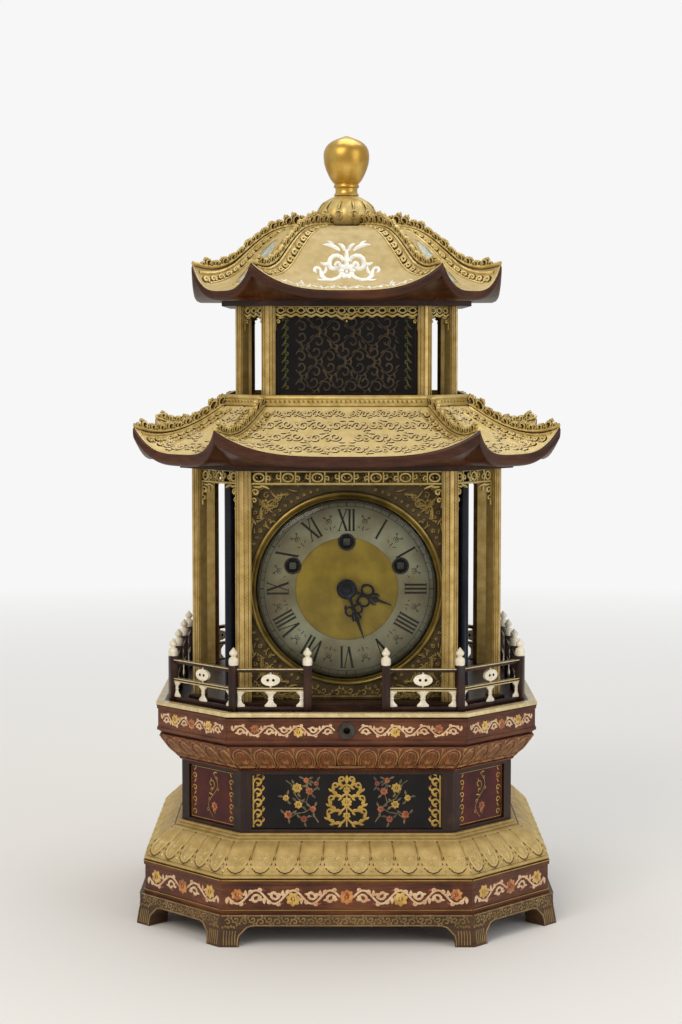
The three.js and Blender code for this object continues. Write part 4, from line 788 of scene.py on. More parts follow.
# Inlay of pearl, amber and gold shell in the friezes
def friezeInlay(half, middle, high, gap=0.0):
    # linked scrolls with blossoms in three shells and small accents; gap stays free in the middle
    amber, gold, white, red = [], [], [], []
    width = 0.068 * high
    long = half > 60
    start = gap if gap else 0.34 * high
    right, beds = scrollRun(start, half, middle, high, width, (2, 5) if long else (1,))
    scrolls = bothWays(right)
    for k, (x, y) in enumerate(beds):
        bank = gold if k % 2 == 0 else amber
        bank += bothWays(blossom(x, y, (0.36 - 0.05 * k) * high, 7, 0.3))
        white += bothWays([dot(x, y, 0.055 * high)])
    for x in range(1, 6):
        spot = start + (half - start) * x / 6
        red += bothWays([leaf(spot, middle + 0.3 * high * (-1) ** x, 0.4 * (-1) ** x, 0.22 * high,
                              0.045 * high, 0.5)])
    if not gap:
        amber += blossom(0, middle, 0.37 * high, 8)
        white.append(dot(0, middle, 0.07 * high))
    return scrolls, amber, gold, white, red


friezeValues = {  # rows: name, plan, sunk depth, middle, scroll height, gilt lines as (height, half width)
    "rows": [("lowerFriezeInlay", plans["frieze"], 1.2, 42.6, 18.0, ((57.4, 0.45), (31.2, 0.3))),
             ("upperFriezeInlay", plans["upperFrieze"], 1.0, 187.4, 13.0, ())],
    "keyFront": -170.6, "keyZ": 187.5, "keyGap": 10.5, "keyBeads": 8, "keyRing": 6.3,
    "keyProfile": [(3.1, 0.2), (6.4, 0.2), (7.4, 0.6), (7.2, 1.1), (5.6, 1.5), (4.2, 1.25), (3.1, 1.3),
                   (3.1, 0.2)],
}


def friezes():
    keys = ["pearl", "amber", "goldShell", "whiteShell", "redShell", "paintGold"]
    for name, plan, recess, middle, high, edges in friezeValues["rows"]:
        for n in allSides:
            bm = bmesh.new()
            half, distance = sideOf(plan, n)
            place = onSide(n, distance - recess)
            front = n == 0 and not edges
            gap = friezeValues["keyGap"] if front else 0.0
            for index, strokes in enumerate(friezeInlay(half - 6, middle, high, gap)):
                if strokes:
                    addStrokes(bm, strokes, place, 0.22, index)
            for y, width in edges:
                gilt = line([(-half + 0.4, y), (half - 0.4, y)], width)
                addStrokes(bm, [gilt], onSide(n, distance), 0.9, 5)
            finishPiece(name + str(n), bm, keys, body="drawer" if front else "structure")


def keyhole():
    bm = bmesh.new()
    front, z, ring = friezeValues["keyFront"], friezeValues["keyZ"], friezeValues["keyRing"]
    addTurned(bm, [(r, -h) for r, h in friezeValues["keyProfile"]], (0, front, z), axis="Y", steps=40)
    for i in range(friezeValues["keyBeads"]):
        angle = 2 * math.pi * i / friezeValues["keyBeads"]
        addTurned(bm, [(0, 0), (0.9, 0), (0.8, -0.5), (0, -0.7)],
                  (ring * math.cos(angle), front - 1, z + ring * math.sin(angle)), axis="Y", steps=10)
    finishPiece("keyhole", bm, ["greySteel"], body="drawer", replaced=["drawer_escutcheon"])


waistValues = {
    "middle": 119.75, "stroke": 0.95, "stile": 9.6, "recess": 2.5, "low": 95, "tall": 49.5, "seed": 5,
    "flowers": [(-13, 3.6, 7), (-1, 4.8, 9), (10, 3.4, 7)],
    "arms": [[(0.5, -16), (5, -20), (11, -20), (16, -16), (17.4, -10)],
             [(0.5, -5), (5, -9), (10, -8.4), (14.6, -4), (16, 2)],
             [(0.5, 7), (4.6, 4), (9, 5), (12.4, 9), (12.6, 14)],
             [(0.5, 15), (3.4, 13.4), (6, 15), (7, 19)]],
}


def waistFlower():  # the gold bouquet in the middle of each lacquer panel: leafy arms that end in scrolls
    half, width = [], waistValues["stroke"]
    for arm in waistValues["arms"]:
        half.append((arm, [0.7] + [1.15] * (len(arm) - 2) + [0.8]))
        for before, (x, y), after in zip(arm, arm[1:], arm[2:]):
            heading = math.atan2(after[1] - before[1], after[0] - before[0])
            half += [leaf(x, y, heading + 1.0, 5.4, width * 1.15, -0.9),
                     leaf(x, y, heading - 1.0, 4.6, width * 1.15, 0.9)]
        (x, y), before = arm[-1], arm[-2]
        half.append(curl(x, y, math.atan2(y - before[1], x - before[0]), 2.9, 0.95, width, 1, 9))
    strokes = bothWays(half) + [line([(0, -23), (0, 20)], 0.6), leaf(0, 16, math.pi / 2, 7.5, 1.7)]
    for y, radius, petals in waistValues["flowers"]:
        strokes += blossom(0, y, radius, petals, math.pi / 2)
    return strokes


def waistSpray(rng):  # a curved branch with flowers in colour between the middle and the borders
    petals, golds, leaves = [], [], []
    stem = [(25, -19), (29, -13), (31, -6), (36, -1), (43, 2), (47, 8), (49, 15), (54, 19)]
    side = [(31, -6), (38, -10), (45, -11), (52, -16)]
    third = [(36, -1), (34, 6), (36, 12), (34, 18)]
    leaves += [line(stem, 0.5), line(side, 0.45), line(third, 0.4)]
    spots = [(44, 12, 4.6), (33, 9, 3.6), (30, -7, 3.0), (43, -3, 3.8), (52, -12, 3.8), (38, -16, 3.2),
             (54, 3, 3.0), (36, 19, 2.6), (27, 16, 2.4)]
    for k, (x, y, radius) in enumerate(spots):
        bank = petals if k % 3 else golds
        bank += blossom(x, y, radius, 7, rng.uniform(0, 1))
        for turn in (0.7, 2.4, 4.1):
            heading = turn + rng.uniform(-0.5, 0.5)
            foot = x + radius * math.cos(heading), y + radius * math.sin(heading)
            leaves.append(leaf(*foot, heading, 4.6, 1.0, rng.uniform(-0.8, 0.8), 4))
    return petals, leaves, golds


def waistPanels():
    rng = random.Random(waistValues["seed"])
    for n in allSides:
        bm = bmesh.new()
        half, distance = sideOf(plans["waist"], n)
        openHalf = half - waistValues["stile"]
        middle, low, tall = waistValues["middle"], waistValues["low"], waistValues["tall"]
        place = onSide(n, distance - waistValues["recess"])
        if n % 2 == 0:
            addStrokes(bm, shifted(waistFlower(), 0, middle), place, 0.3, 0)
            petals, leaves, golds = waistSpray(rng)
            for hand in (1, -1):
                turn = (lambda s: s) if hand > 0 else flipped
                addStrokes(bm, shifted(turn(petals), 0, middle), place, 0.25, 1)
                addStrokes(bm, shifted(turn(leaves), 0, middle), place, 0.2, 2, 0)
                addStrokes(bm, shifted(turn(golds), 0, middle), place, 0.25, 0)
                edge = hand * (openHalf - 1.4)
                border = [line([(edge, 96.4), (edge, 143.1)], 0.8)]
                buds = []
                for i in range(5):
                    y = 100.5 + 9.4 * i
                    rise, fall = math.pi / 2 + hand * 1.2, math.pi / 2 + hand * 0.9
                    border += [curl(edge - hand * 0.6, y - 1, math.pi / 2, 4.0, 1.0, 1.0, hand, 9),
                               leaf(edge - hand * 3, y + 4.8, rise, 6.5, 1.1, -hand * 0.8),
                               leaf(edge - hand * 7.6, y + 0.6, fall, 4.4, 0.9, -hand * 0.6)]
                    buds += [dot(edge - hand * 8.6, y + 4.4, 1.3), dot(edge - hand * 3.4, y + 3.4, 0.8)]
                addStrokes(bm, border, place, 0.3, 0)
                addStrokes(bm, buds, place, 0.3, 1)
            finishPiece("waistGold" + str(n), bm, ["paintGold", "redPaint", "greenPaint"])
        else:
            frame = [line(cornersOf(openHalf - 1.2, 96.6, 142.9), 0.45)]
            for hand in (-1, 1):
                for i in range(4):
                    y = 101 + 11 * i
                    x = hand * (openHalf - 2.4)
                    frame += [curl(x, y, math.pi / 2, 3.2, 1.0, 0.7, hand, 9),
                              leaf(x - hand * 2, y + 5, math.pi / 2 + hand, 5, 0.8, -hand * 0.8)]
            addStrokes(bm, frame, place, 0.3, 0)
            field, beds = scrollRun(-20, 20, 0, 19, 0.7, (0, 2))
            addStrokes(bm, shifted(twisted(field, 90), 0, middle), place, 0.25, 0, 0)
            buds = [stroke for x, y in beds for stroke in blossom(x, y, 4.4, 7)]
            addStrokes(bm, shifted(twisted(buds, 90), 0, middle), place, 0.25, 1, 0)
            addGrid(bm, 1, 1, lambda u, v: place((2 * u - 1) * openHalf, low + tall * v, 0.08), 2)
            finishPiece("waistBevelGold" + str(n), bm, ["paintGold", "redPaint", "redLacquer"])


def footCarving():
    bm = bmesh.new()
    for n in allSides:
        half, distance = sideOf(plans["foot"], n)
        openHalf = half - 17
        turn = turned(n)

        def place(x, y, h, distance=distance, turn=turn):
            back = mix(0, 0.8, y / 5) if y < 5 else mix(0.8, 3, min(1, (y - 5) / 12.5))
            return turn @ Vector((x, -(distance - back + h), y)) * mm
        strokes = []
        for hand in (-1, 1):
            side = hand * openHalf
            edge = [(side + hand * 1.1, 0.8), (side + hand * 1.1, 5), (side, 10), (side - hand * 3.6, 13.6),
                    (side - hand * 7, 17), (side - hand * 12, 18.6)]
            strokes.append(line(edge, 0.6))
            for i in range(5):
                x = side + hand * (3.2 + 2.5 * i)
                strokes += [line([(x, 2), (x, 9), (x - hand * 0.5, 14)], 0.45),
                            curl(x - 0.6, 16 + 0.7 * (i % 2), 0.4, 1.1, 0.9, 0.55, 1, 6)]
            heading = 0.3 if hand > 0 else math.pi - 0.3
            strokes.append(curl(side - hand * 4, 21.5, heading, 2.6, 1.1, 0.6, hand))
        strokes += [line([(-openHalf + 12, 18.6), (openHalf - 12, 18.6)], 0.6),
                    line([(-half + 2, 27.2), (half - 2, 27.2)], 0.55)]
        strokes += vine(-half + 5, half - 5, 22.8, 5.8, 7.4, 0.62)
        addStrokes(bm, strokes, place, 0.9)
    finishPiece("footCarving", bm, ["footCarved"])


lotusBands()
friezes()
keyhole()
waistPanels()
footCarving()
print("base built")


# Dial: matt centre, chapter ring with engraved numerals, spandrels, rims, hands, bezel and glass
dialValues = {
    "z": 307.0, "plateFront": -123.3, "ringFront": -124.8, "centreRadius": 45.9, "trackInner": 73.8,
    "trackOuter": 77.6, "numeralLow": 52.0, "numeralHigh": 71.0, "hourTurn": 110.0, "minuteTurn": 161.0,
    "holes": [(0, 42.0), (-48.0, 20.6), (48.0, 20.6)], "holeRadius": 6.5,
}
numerals = ["XII", "I", "II", "III", "IIII", "V", "VI", "VII", "VIII", "IX", "X", "XI"]


def onDial(front, turn=0.0):  # x right, y up from the dial centre, h forward; turn is clockwise degrees
    angle = -math.radians(turn)
    cos, sin = math.cos(angle), math.sin(angle)
    return lambda x, y, h: Vector((x * cos - y * sin, front - h, dialValues["z"] + x * sin + y * cos)) * mm


def numeralStrokes(text):  # roman letters standing on the inner circle, thick and thin lines with serifs
    low, high = dialValues["numeralLow"], dialValues["numeralHigh"]
    widths = {"I": 3.6, "V": 9.0, "X": 8.6}
    total = sum(widths[letter] for letter in text)
    strokes, x = [], -total / 2
    for letter in text:
        wide = widths[letter]
        left, right, middle = x + 0.9, x + wide - 0.9, x + wide / 2
        if letter == "I":
            strokes.append(line([(middle, low), (middle, high)], 0.95))
            ends = [(middle, low), (middle, high)]
        elif letter == "V":
            strokes += [line([(left, high), (middle, low)], 1.05), line([(right, high), (middle, low)], 0.45)]
            ends = [(left, high), (right, high)]
        else:
            strokes += [line([(left, high), (right, low)], 1.05), line([(right, high), (left, low)], 0.45)]
            ends = [(left, high), (right, high), (left, low), (right, low)]
        strokes += [line([(end - 1.5, y), (end + 1.5, y)], 0.3) for end, y in ends]
        x += wide
    return strokes


def clearOfHoles(stroke, turn, margin=8.4):  # leaves room for the winding holes
    cos, sin = math.cos(-math.radians(turn)), math.sin(-math.radians(turn))
    for x, y in stroke[0]:
        px, py = x * cos - y * sin, x * sin + y * cos
        if any(math.hypot(px - a, py - b) < margin for a, b in dialValues["holes"]):
            return False
    return True


def chapterMarks():
    bm = bmesh.new()
    ring = dialValues["ringFront"]
    for i, text in enumerate(numerals):
        turn = 30 * i
        strokes = [s for s in numeralStrokes(text) if clearOfHoles(s, turn, 7.4)]
        addStrokes(bm, strokes, onDial(ring, turn), 0.12, 0, 1)
        sprays = bothWays([curl(1.0, 60, 0.3, 2.6, 1.0, 0.32, 1, 8), leaf(1.2, 64.5, 0.9, 4, 0.36, -0.7),
                           leaf(2.4, 55.5, 0.2, 3.4, 0.34, 0.8), curl(2.2, 67.5, 0.4, 1.4, 0.9, 0.28, -1, 6)])
        sprays += [leaf(0, 53.5, math.pi / 2, 5, 0.4), dot(0, 60.6, 0.5)]
        addStrokes(bm, [s for s in sprays if clearOfHoles(s, turn + 15)], onDial(ring, turn + 15), 0.1, 0, 0)
    place = onDial(ring)
    inner, outer = dialValues["trackInner"], dialValues["trackOuter"]
    circles = [arc(0, 0, r, 0, 360, w, 120) for r, w in ((inner, 0.22), (outer, 0.22), (outer + 1.3, 0.3))]
    for i in range(60):
        sin, cos = math.sin(math.radians(6 * i)), math.cos(math.radians(6 * i))
        circles.append(line([(inner * sin, inner * cos), (outer * sin, outer * cos)],
                            0.45 if i % 5 == 0 else 0.22))
    addStrokes(bm, circles, place, 0.12, 0, 0)
    finishPiece("chapterMarks", bm, ["blackWax"])


def dialCentre():
    bm = bmesh.new()
    place = onDial(dialValues["plateFront"] - 0.2)
    holeY, holeR = dialValues["holes"][0][1], dialValues["holeRadius"] + 0.1

    def sector(u, v):  # a ring of the plate, cut back round the upper winding hole
        angle = 2 * math.pi * u
        reach = dialValues["centreRadius"]
        aside = holeY * math.sin(angle)
        if abs(aside) < holeR and math.cos(angle) > 0:
            reach = holeY * math.cos(angle) - math.sqrt(holeR ** 2 - aside ** 2)
        r = mix(reach, 2.4, v)
        return place(r * math.sin(angle), r * math.cos(angle), 0.16 * math.exp(-((r - 44.8) / 0.6) ** 2))
    addGrid(bm, 240, 24, sector)
    finishPiece("dialCentre", bm, ["mattBrass"])
    bm = bmesh.new()
    for x, y in dialValues["holes"]:
        profile = [(6.4, -0.4), (6.4, -1.9), (6.9, -2.1), (7.6, -1.85), (7.8, -1.3)]
        addTurned(bm, profile, (x, dialValues["plateFront"], dialValues["z"] + y), axis="Y", steps=40)
    # the rims take the near-black brass that paints the shade of the holes
    finishPiece("windingRims", bm, ["holeShadeBrass"])


def spandrels():
    bm = bmesh.new()
    place = onDial(dialValues["plateFront"])
    spray = [curl(66, 68, 0.2, 7, 1.05, 0.9, 1), curl(72, 60, -1.2, 6, 1.0, 0.9, -1),
             leaf(64, 74, 0.2, 13, 1.4, -0.7), leaf(76, 62, 1.3, 13, 1.4, 0.7),
             leaf(60, 80, 0.4, 11, 1.1, 0.8), leaf(81, 57, 1.2, 11, 1.1, -0.8),
             leaf(52, 84, 0.1, 12, 1.0, -0.6), leaf(85, 50, 1.5, 12, 1.0, 0.6),
             leaf(70, 71, 0.8, 17, 1.7, 0.0), curl(79, 79, 2.4, 3.6, 1.0, 0.7, 1),
             curl(84, 72, 2.0, 3.0, 1.0, 0.7, -1), curl(70, 86, 0.4, 3.0, 1.0, 0.7, -1),
             leaf(44, 87, 0.0, 9, 0.8, 0.5), leaf(87, 42, 1.55, 9, 0.8, -0.5), dot(87, 87, 1.2)]
    spray += blossom(73, 76, 5, 7)
    spray += shifted(twisted(scrollRun(-22, 22, 0, 9, 0.75)[0], -45), 82, 86)
    spray += shifted(twisted(scrollRun(-16, 16, 0, 8, 0.65)[0], -45), 69, 72)
    spray += shifted(scrollRun(-14, 14, 0, 8, 0.65)[0], 56, 97)
    for degrees in range(17, 75, 4):  # curls that follow the bezel
        a = math.radians(degrees)
        spray.append(curl(93 * math.cos(a), 93 * math.sin(a), a + math.pi / 2 - 0.6, 1.5, 1.0, 0.55, 1, 7))
    for x, y in ((80, 50), (84, 66), (56, 82), (64, 92), (88, 60), (78, 92)):
        spray += [curl(x - 2, y, 0.5, 2.2, 1.0, 0.55, 1, 7), leaf(x + 1.6, y - 1, 1.1, 5, 0.8, 0.8)]
    for sx in (1, -1):
        for sy in (1, -1):
            corner = [([(sx * x, sy * y) for x, y in points], widths) for points, widths in spray]
            addStrokes(bm, corner, place, 0.45, 0)
            # painted shadow beside and under each corner spray
            addStrokes(bm, paintedShadowBeds(corner, 0.3, -0.7, 1.25), place, 0.2, 1, 0)
    addStrokes(bm, [line(cornersOf(89.6, -97, 104), 0.7)], place, 0.7, 0)
    low = vine(-84, 84, -93, 6, 12, 0.6)
    high = vine(-84, 84, 98, 7, 12, 0.7)
    addStrokes(bm, low + high, place, 0.5, 0)
    # painted shadow beside and under the vines
    addStrokes(bm, paintedShadowBeds(low + high, 0.3, -0.6, 1.2), place, 0.2, 1, 0)
    finishPiece("spandrels", bm, ["spandrelGilt", "hollow"])


def dialBezel():
    bm = bmesh.new()
    profile = [(81, 0.1), (87.0, 0.1), (87.0, 1.6), (86.2, 2.7), (85.0, 3.1), (84.1, 2.7), (83.9, 2.1),
               (83.3, 1.9), (82.9, 2.3), (82.6, 4.6), (82.1, 5.6), (81.4, 6.0), (80.9, 5.4), (80.8, 0.1)]
    addTurned(bm, [(r, -h) for r, h in profile], (0, dialValues["plateFront"], dialValues["z"]), axis="Y",
              steps=144)
    finishPiece("doubleBezel", bm, ["bezelGilt"], replaced=["bezel"], sharp=35)
    bm = bmesh.new()
    dome = []
    for i in range(17):
        t = i / 16
        dome.append((80.4 * math.cos(t * math.pi / 2), -4.2 - 9 * math.sin(t * math.pi / 2)))
    addTurned(bm, dome, (0, dialValues["plateFront"], dialValues["z"]), axis="Y", steps=96)
    finishPiece("domedGlass", bm, ["glass"], replaced=["bezel_glass"], sharp=80)


def handShape(length, hub, wide, low, high):
    # a stem from the hub, a pierced heart of loops and curls, and a slim tip, straight up from the centre
    middle = (low + high) / 2
    body = bothWays([arc(wide * 0.25, middle - 1.2, wide * 0.22, -90, 270, 1.0, 14, 1.15),
                     leaf(wide * 0.12, middle + 2.6, 0.9, wide * 0.42, 1.1, 0.9),
                     leaf(wide * 0.3, low + 0.6, 0.5, wide * 0.3, 1.0, 0.9),
                     curl(0.8, high - 2.6, 0.5, wide * 0.16, 0.9, 0.8, 1, 8)])
    return body + [([(0, hub - 1), (0, low)], [1.9, 1.3]), ([(0, low), (0, high)], [1.2, 1.0]),
                   ([(0, high - 1), (0, high + 3), (0, mix(high, length, 0.6)), (0, length)],
                    [1.9, 1.3, 0.9, 0.3])]


def clockHands():
    rows = [("hourHandSteel", "hour", "hour_hand", -127.0, dialValues["hourTurn"], (43, 7.4, 21, 11, 27)),
            ("minuteHandSteel", "minute", "minute_hand", -129.3, dialValues["minuteTurn"],
             (47, 8.4, 16, 13, 29))]
    for name, body, node, front, turn, sizes in rows:
        bm = bmesh.new()
        addStrokes(bm, handShape(*sizes), onDial(front + 0.35, turn), 0.42, 0, 2)
        hub = sizes[1]
        if body == "minute":
            disc = [(0, -0.1), (hub + 0.6, -0.1), (hub + 0.6, 0.7), (hub - 0.3, 1.2), (hub - 1.6, 1.0),
                    (hub - 2.2, 0.6), (4.6, 0.6), (4.0, 1.3), (2.6, 1.6), (2.2, 2.4), (0, 2.8)]
        else:
            disc = [(1.9, -0.1), (hub + 0.6, -0.1), (hub + 0.6, 0.6), (hub, 1.0), (1.9, 1.0), (1.9, -0.1)]
        addTurned(bm, [(r, -h) for r, h in disc], (0, front + 0.9, dialValues["z"]), axis="Y", steps=40)
        finishPiece(name, bm, ["bluedSteel"], body=body, replaced=[node], sharp=35)


chapterMarks()
dialCentre()
spandrels()
dialBezel()
clockHands()
print("dial built")


# Gallery: wooden posts with bone finials, rails, ovals and balusters, and the deck edge painted pale as a
# highlight
railValues = {"half": 157.0, "cut": 57.5, "gate": 34.5, "post": 7.4, "deck": 202.8, "postTop": 243.3,
              "bottom": (0, 3.6), "middle": (17.4, 20.4), "top": (34.0, 37.4), "thick": 3.6,
              "edge": [(0.6, 198.9), (-0.12, 199.6), (-0.12, 201.9), (0.5, 202.86), (7.5, 202.86)]}


def galleryPosts():  # post places, counter-clockwise from the right of the gate
    near = railValues["half"] - railValues["cut"]
    half, gate = railValues["half"], railValues["gate"]
    right = [(gate, -half), (near, -half), (half, -near), (half, -gate),
             (half, gate), (half, near), (near, half), (gate, half)]
    turns = [0, 22.5, 67.5, 90, 90, 112.5, 157.5, 0]
    left = [(-x, y) for x, y in reversed(right)]
    return right + left, turns + [-t for t in reversed(turns)]


def galleryBay(bm, start, end):  # rails, an oval and three balusters between two posts
    start, end = Vector((*start, railValues["deck"])), Vector((*end, railValues["deck"]))
    along = (end - start).normalized()
    out = along.cross(Vector((0, 0, 1)))
    middle = (start + end) / 2
    half = (end - start).length / 2 - railValues["post"] / 2 + 0.5
    thick = railValues["thick"] / 2

    def place(x, y, h):
        return (middle + along * x + out * h + Vector((0, 0, y))) * mm

    for low, high in (railValues["bottom"], railValues["middle"], railValues["top"]):
        addBox(bm, (-half, low, -thick), (half, high, thick), 0, place, 0.45)
    for height in (railValues["top"][1] - 0.5, railValues["middle"][1] - 0.4, railValues["middle"][0] + 0.4):
        for face in (-1, 1):
            addStrokes(bm, [line([(-half, height), (half, height)], 0.5)],
                       lambda x, y, h: place(x, y, face * (thick + 0.05) + h), 0.7, 2)
    ovalMid = (railValues["middle"][1] + railValues["top"][0]) / 2
    stem = line([(0, railValues["middle"][1] - 0.2), (0, railValues["top"][0] + 0.2)], 0.9)
    addStrokes(bm, [stem], place, 1.0, 1)
    addOval(bm, place, 0, ovalMid, 8.4, 5.2, 1.5, 1, 36)
    # painted shade: two black dots on each oval stand for the dark of its openings
    for x in (-2.5, 2.5):
        addOval(bm, place, x, ovalMid, 1.35, 1.35, 1.62, 3, 12)
    low, high = railValues["bottom"][1], railValues["middle"][0]
    tall = high - low
    profile = [(0, -0.1), (5.3, -0.1), (5.3, 0.1 * tall), (4.5, 0.16 * tall), (2.9, 0.27 * tall),
               (2.1, 0.4 * tall), (2.0, 0.47 * tall), (2.7, 0.49 * tall), (2.7, 0.53 * tall),
               (2.0, 0.55 * tall), (2.1, 0.62 * tall), (2.9, 0.75 * tall), (4.5, 0.86 * tall),
               (5.3, 0.9 * tall), (5.3, tall + 0.1), (0, tall + 0.1)]
    for x in (-half + 1.4, 0, half - 1.4):
        part = bmesh.new()
        addTurned(part, profile, (0, 0, 0), steps=20)
        bmesh.ops.scale(part, verts=part.verts, vec=(1 / mm, 1 / mm, 1 / mm))
        addTo(bm, part, 1, lambda a, b, c: place(a + x, low + c, 0.3 * b))


def gallery():
    bm = bmesh.new()
    places, turns = galleryPosts()
    for (x, y), turn in zip(places, turns):
        half, top = railValues["post"] / 2, railValues["postTop"]
        spin = Matrix.Rotation(math.radians(turn), 3, "Z")
        addBox(bm, (-half, -half, railValues["deck"]), (half, half, top), 0,
               lambda a, b, c: (spin @ Vector((a, b, 0)) + Vector((x, y, c))) * mm, 0.8)
        profile = [(0, top - 0.2), (3.9, top - 0.2), (4.2, top + 0.4), (4.35, top + 2.4), (4.3, top + 4.6),
                   (3.9, top + 6), (2.7, top + 6.8), (1.9, top + 7.5), (2.1, top + 8.2), (3.3, top + 9),
                   (3.75, top + 10.2), (3.5, top + 11.6), (2.3, top + 13), (1.2, top + 14.4),
                   (0.6, top + 15.3), (0, top + 15.6)]
        addTurned(bm, profile, (x, y, 0), steps=20, index=1)
    for start, end in zip(places, places[1:]):
        galleryBay(bm, start, end)
    finishPiece("galleryRail", bm, ["postWood", "bone", "paleEdge", "blackLacquer"],
                replaced=["balustrade_left", "balustrade_right"], sharp=40)
    # painted highlight: the deck edge moulding takes the pale finish for the light its top catches
    bm = bmesh.new()
    addOctagon(bm, [(shrink(plans["deck"], inset), height) for inset, height in railValues["edge"]])
    finishPiece("deckEdge", bm, ["paleEdge"])


gallery()
print("gallery built")


# Roofs: a slope with upturned tips, fascia and soffit, then the scrolls, hip crests and finial
def curveThrough(stations, share):  # smooth slope through (share, height) stations
    for i in range(1, len(stations)):
        if share <= stations[i][0] + 1e-9:
            break
    a, b = stations[i - 1], stations[i]
    before = stations[i - 2] if i > 1 else a
    after = stations[i + 1] if i + 1 < len(stations) else b
    span = b[0] - a[0]
    t = (share - a[0]) / span
    rise = (b[1] - a[1]) / span
    first = (b[1] - before[1]) / (b[0] - before[0]) if i > 1 else rise
    last = (after[1] - a[1]) / (after[0] - a[0]) if i + 1 < len(stations) else rise
    return ((2 * t ** 3 - 3 * t ** 2 + 1) * a[1] + (t ** 3 - 2 * t ** 2 + t) * span * first
            + (3 * t ** 2 - 2 * t ** 3) * b[1] + (t ** 3 - t ** 2) * span * last)


lowerRoofValues = {  # scrollRows: height up the slope, inset from scrollHalf, radius
    "top": plans["lowerRoofTop"], "eave": plans["lowerEave"], "soffit": shrink(plans["columns"], -11),
    "inner": shrink(plans["lowerRoofTop"], 14), "zLow": 417.5, "rise": 51, "sag": 6, "tipRise": 23,
    "underRise": 20.5, "flare": 3.6, "length": 88, "columns": 64, "rows": 18,
    "slope": [(0, 1), (0.25, 0.745), (0.5, 0.53), (0.75, 0.353), (1, 0.206)],
    "scrollHalf": (101, 38), "scrollRows": [(17, 0, 5.6), (40, 13, 5.4), (61.5, 25, 4.8), (79, 35, 3.2)],
    "crestStart": -2, "besideRows": (1, 2),
}
upperRoofValues = {
    "top": plans["upperRoofTop"], "eave": plans["upperEave"], "soffit": shrink(plans["upperColumns"], -13),
    "inner": shrink(plans["upperRoofTop"], 16), "zLow": 563, "rise": 70, "sag": -1, "tipRise": 24,
    "underRise": 20, "flare": 3.2, "length": 122, "columns": 52, "rows": 26,
    "slope": [(0, 1), (0.16, 0.975), (0.3, 0.92), (0.42, 0.8), (0.55, 0.6), (0.68, 0.38), (0.82, 0.23),
              (1, 0.12)],
    "crestStart": -14, "besideRows": (1, 1),
}


def slopeHeight(roof, share, tip=1.0):  # tip is 1 on a hip and falls to 0 in the middle of a side
    return (roof["zLow"] + curveThrough(roof["slope"], share) * roof["rise"]
            + roof["tipRise"] * tip * share ** 3)


def roofPoint(roof, n, share, across):  # across runs from -1 to 1 along side n
    tip = abs(across) ** roof["flare"]
    topHalf, topOut = sideOf(roof["top"], n)
    eaveHalf, eaveOut = sideOf(roof["eave"], n)
    out = mix(topOut, eaveOut - (1 - tip) * roof["sag"], share)
    half = mix(topHalf, eaveHalf, share)
    return Vector((across * half, -out, slopeHeight(roof, share, tip))), out, half


def onRoof(roof, n):  # flat pattern: x from the middle, y up the slope from the eave, h above the surface
    turn = turned(n)

    def place(x, y, h):
        share = min(0.999, max(0.0, 1 - y / roof["length"]))
        half = roofPoint(roof, n, share, 0)[2]
        across = max(-1, min(1, x / half))
        here = roofPoint(roof, n, share, across)[0]
        ends = max(-1, across - 0.01), min(1, across + 0.01)
        shares = min(1, share + 0.01), max(0, share - 0.01)
        left, right = (roofPoint(roof, n, share, end)[0] for end in ends)
        low, high = (roofPoint(roof, n, end, across)[0] for end in shares)
        return turn @ (here + (right - left).cross(high - low).normalized() * h) * mm
    return place


def roofShell(bm, roof):
    for n in allSides:
        turn = turned(n)

        def slopeAt(u, v):
            return turn @ roofPoint(roof, n, 1 - v, 2 * u - 1)[0] * mm

        def eaveAt(u, v):
            across = 2 * u - 1
            tip = abs(across) ** roof["flare"]
            edge, out, half = roofPoint(roof, n, 1, across)
            foot = roof["zLow"] + roof["underRise"] * tip
            stops = [(2.6, 1), (0.8, 0.9), (-0.2, 0.72), (-0.6, 0.45), (-0.6, 0.16), (0.1, 0.04), (0.5, 0)]
            if v < 0.2:
                share = v / 0.2
                soffitHalf, soffitOut = sideOf(roof["soffit"], n)
                low = Vector((across * soffitHalf, -soffitOut, roof["zLow"]))
                high = Vector((across * (half - 1.08), -(out - 2.6), foot))
                return turn @ low.lerp(high, share) * mm
            step = (v - 0.2) / 0.8 * (len(stops) - 1)
            i = min(int(step + 1e-6), len(stops) - 2)
            pull = mix(stops[i][0], stops[i + 1][0], step - i)
            drop = mix(stops[i][1], stops[i + 1][1], step - i)
            return turn @ Vector((across * (half - 0.414 * pull), -(out - pull),
                                  mix(edge.z, foot, drop))) * mm

        addGrid(bm, roof["columns"], roof["rows"], slopeAt, 0)
        addGrid(bm, roof["columns"], 15, eaveAt, 1)
    top = roof["zLow"] + roof["rise"]
    addOctagon(bm, [(roof["top"], top), (roof["inner"], top), (roof["inner"], roof["zLow"]),
                    (roof["soffit"], roof["zLow"])], 1)


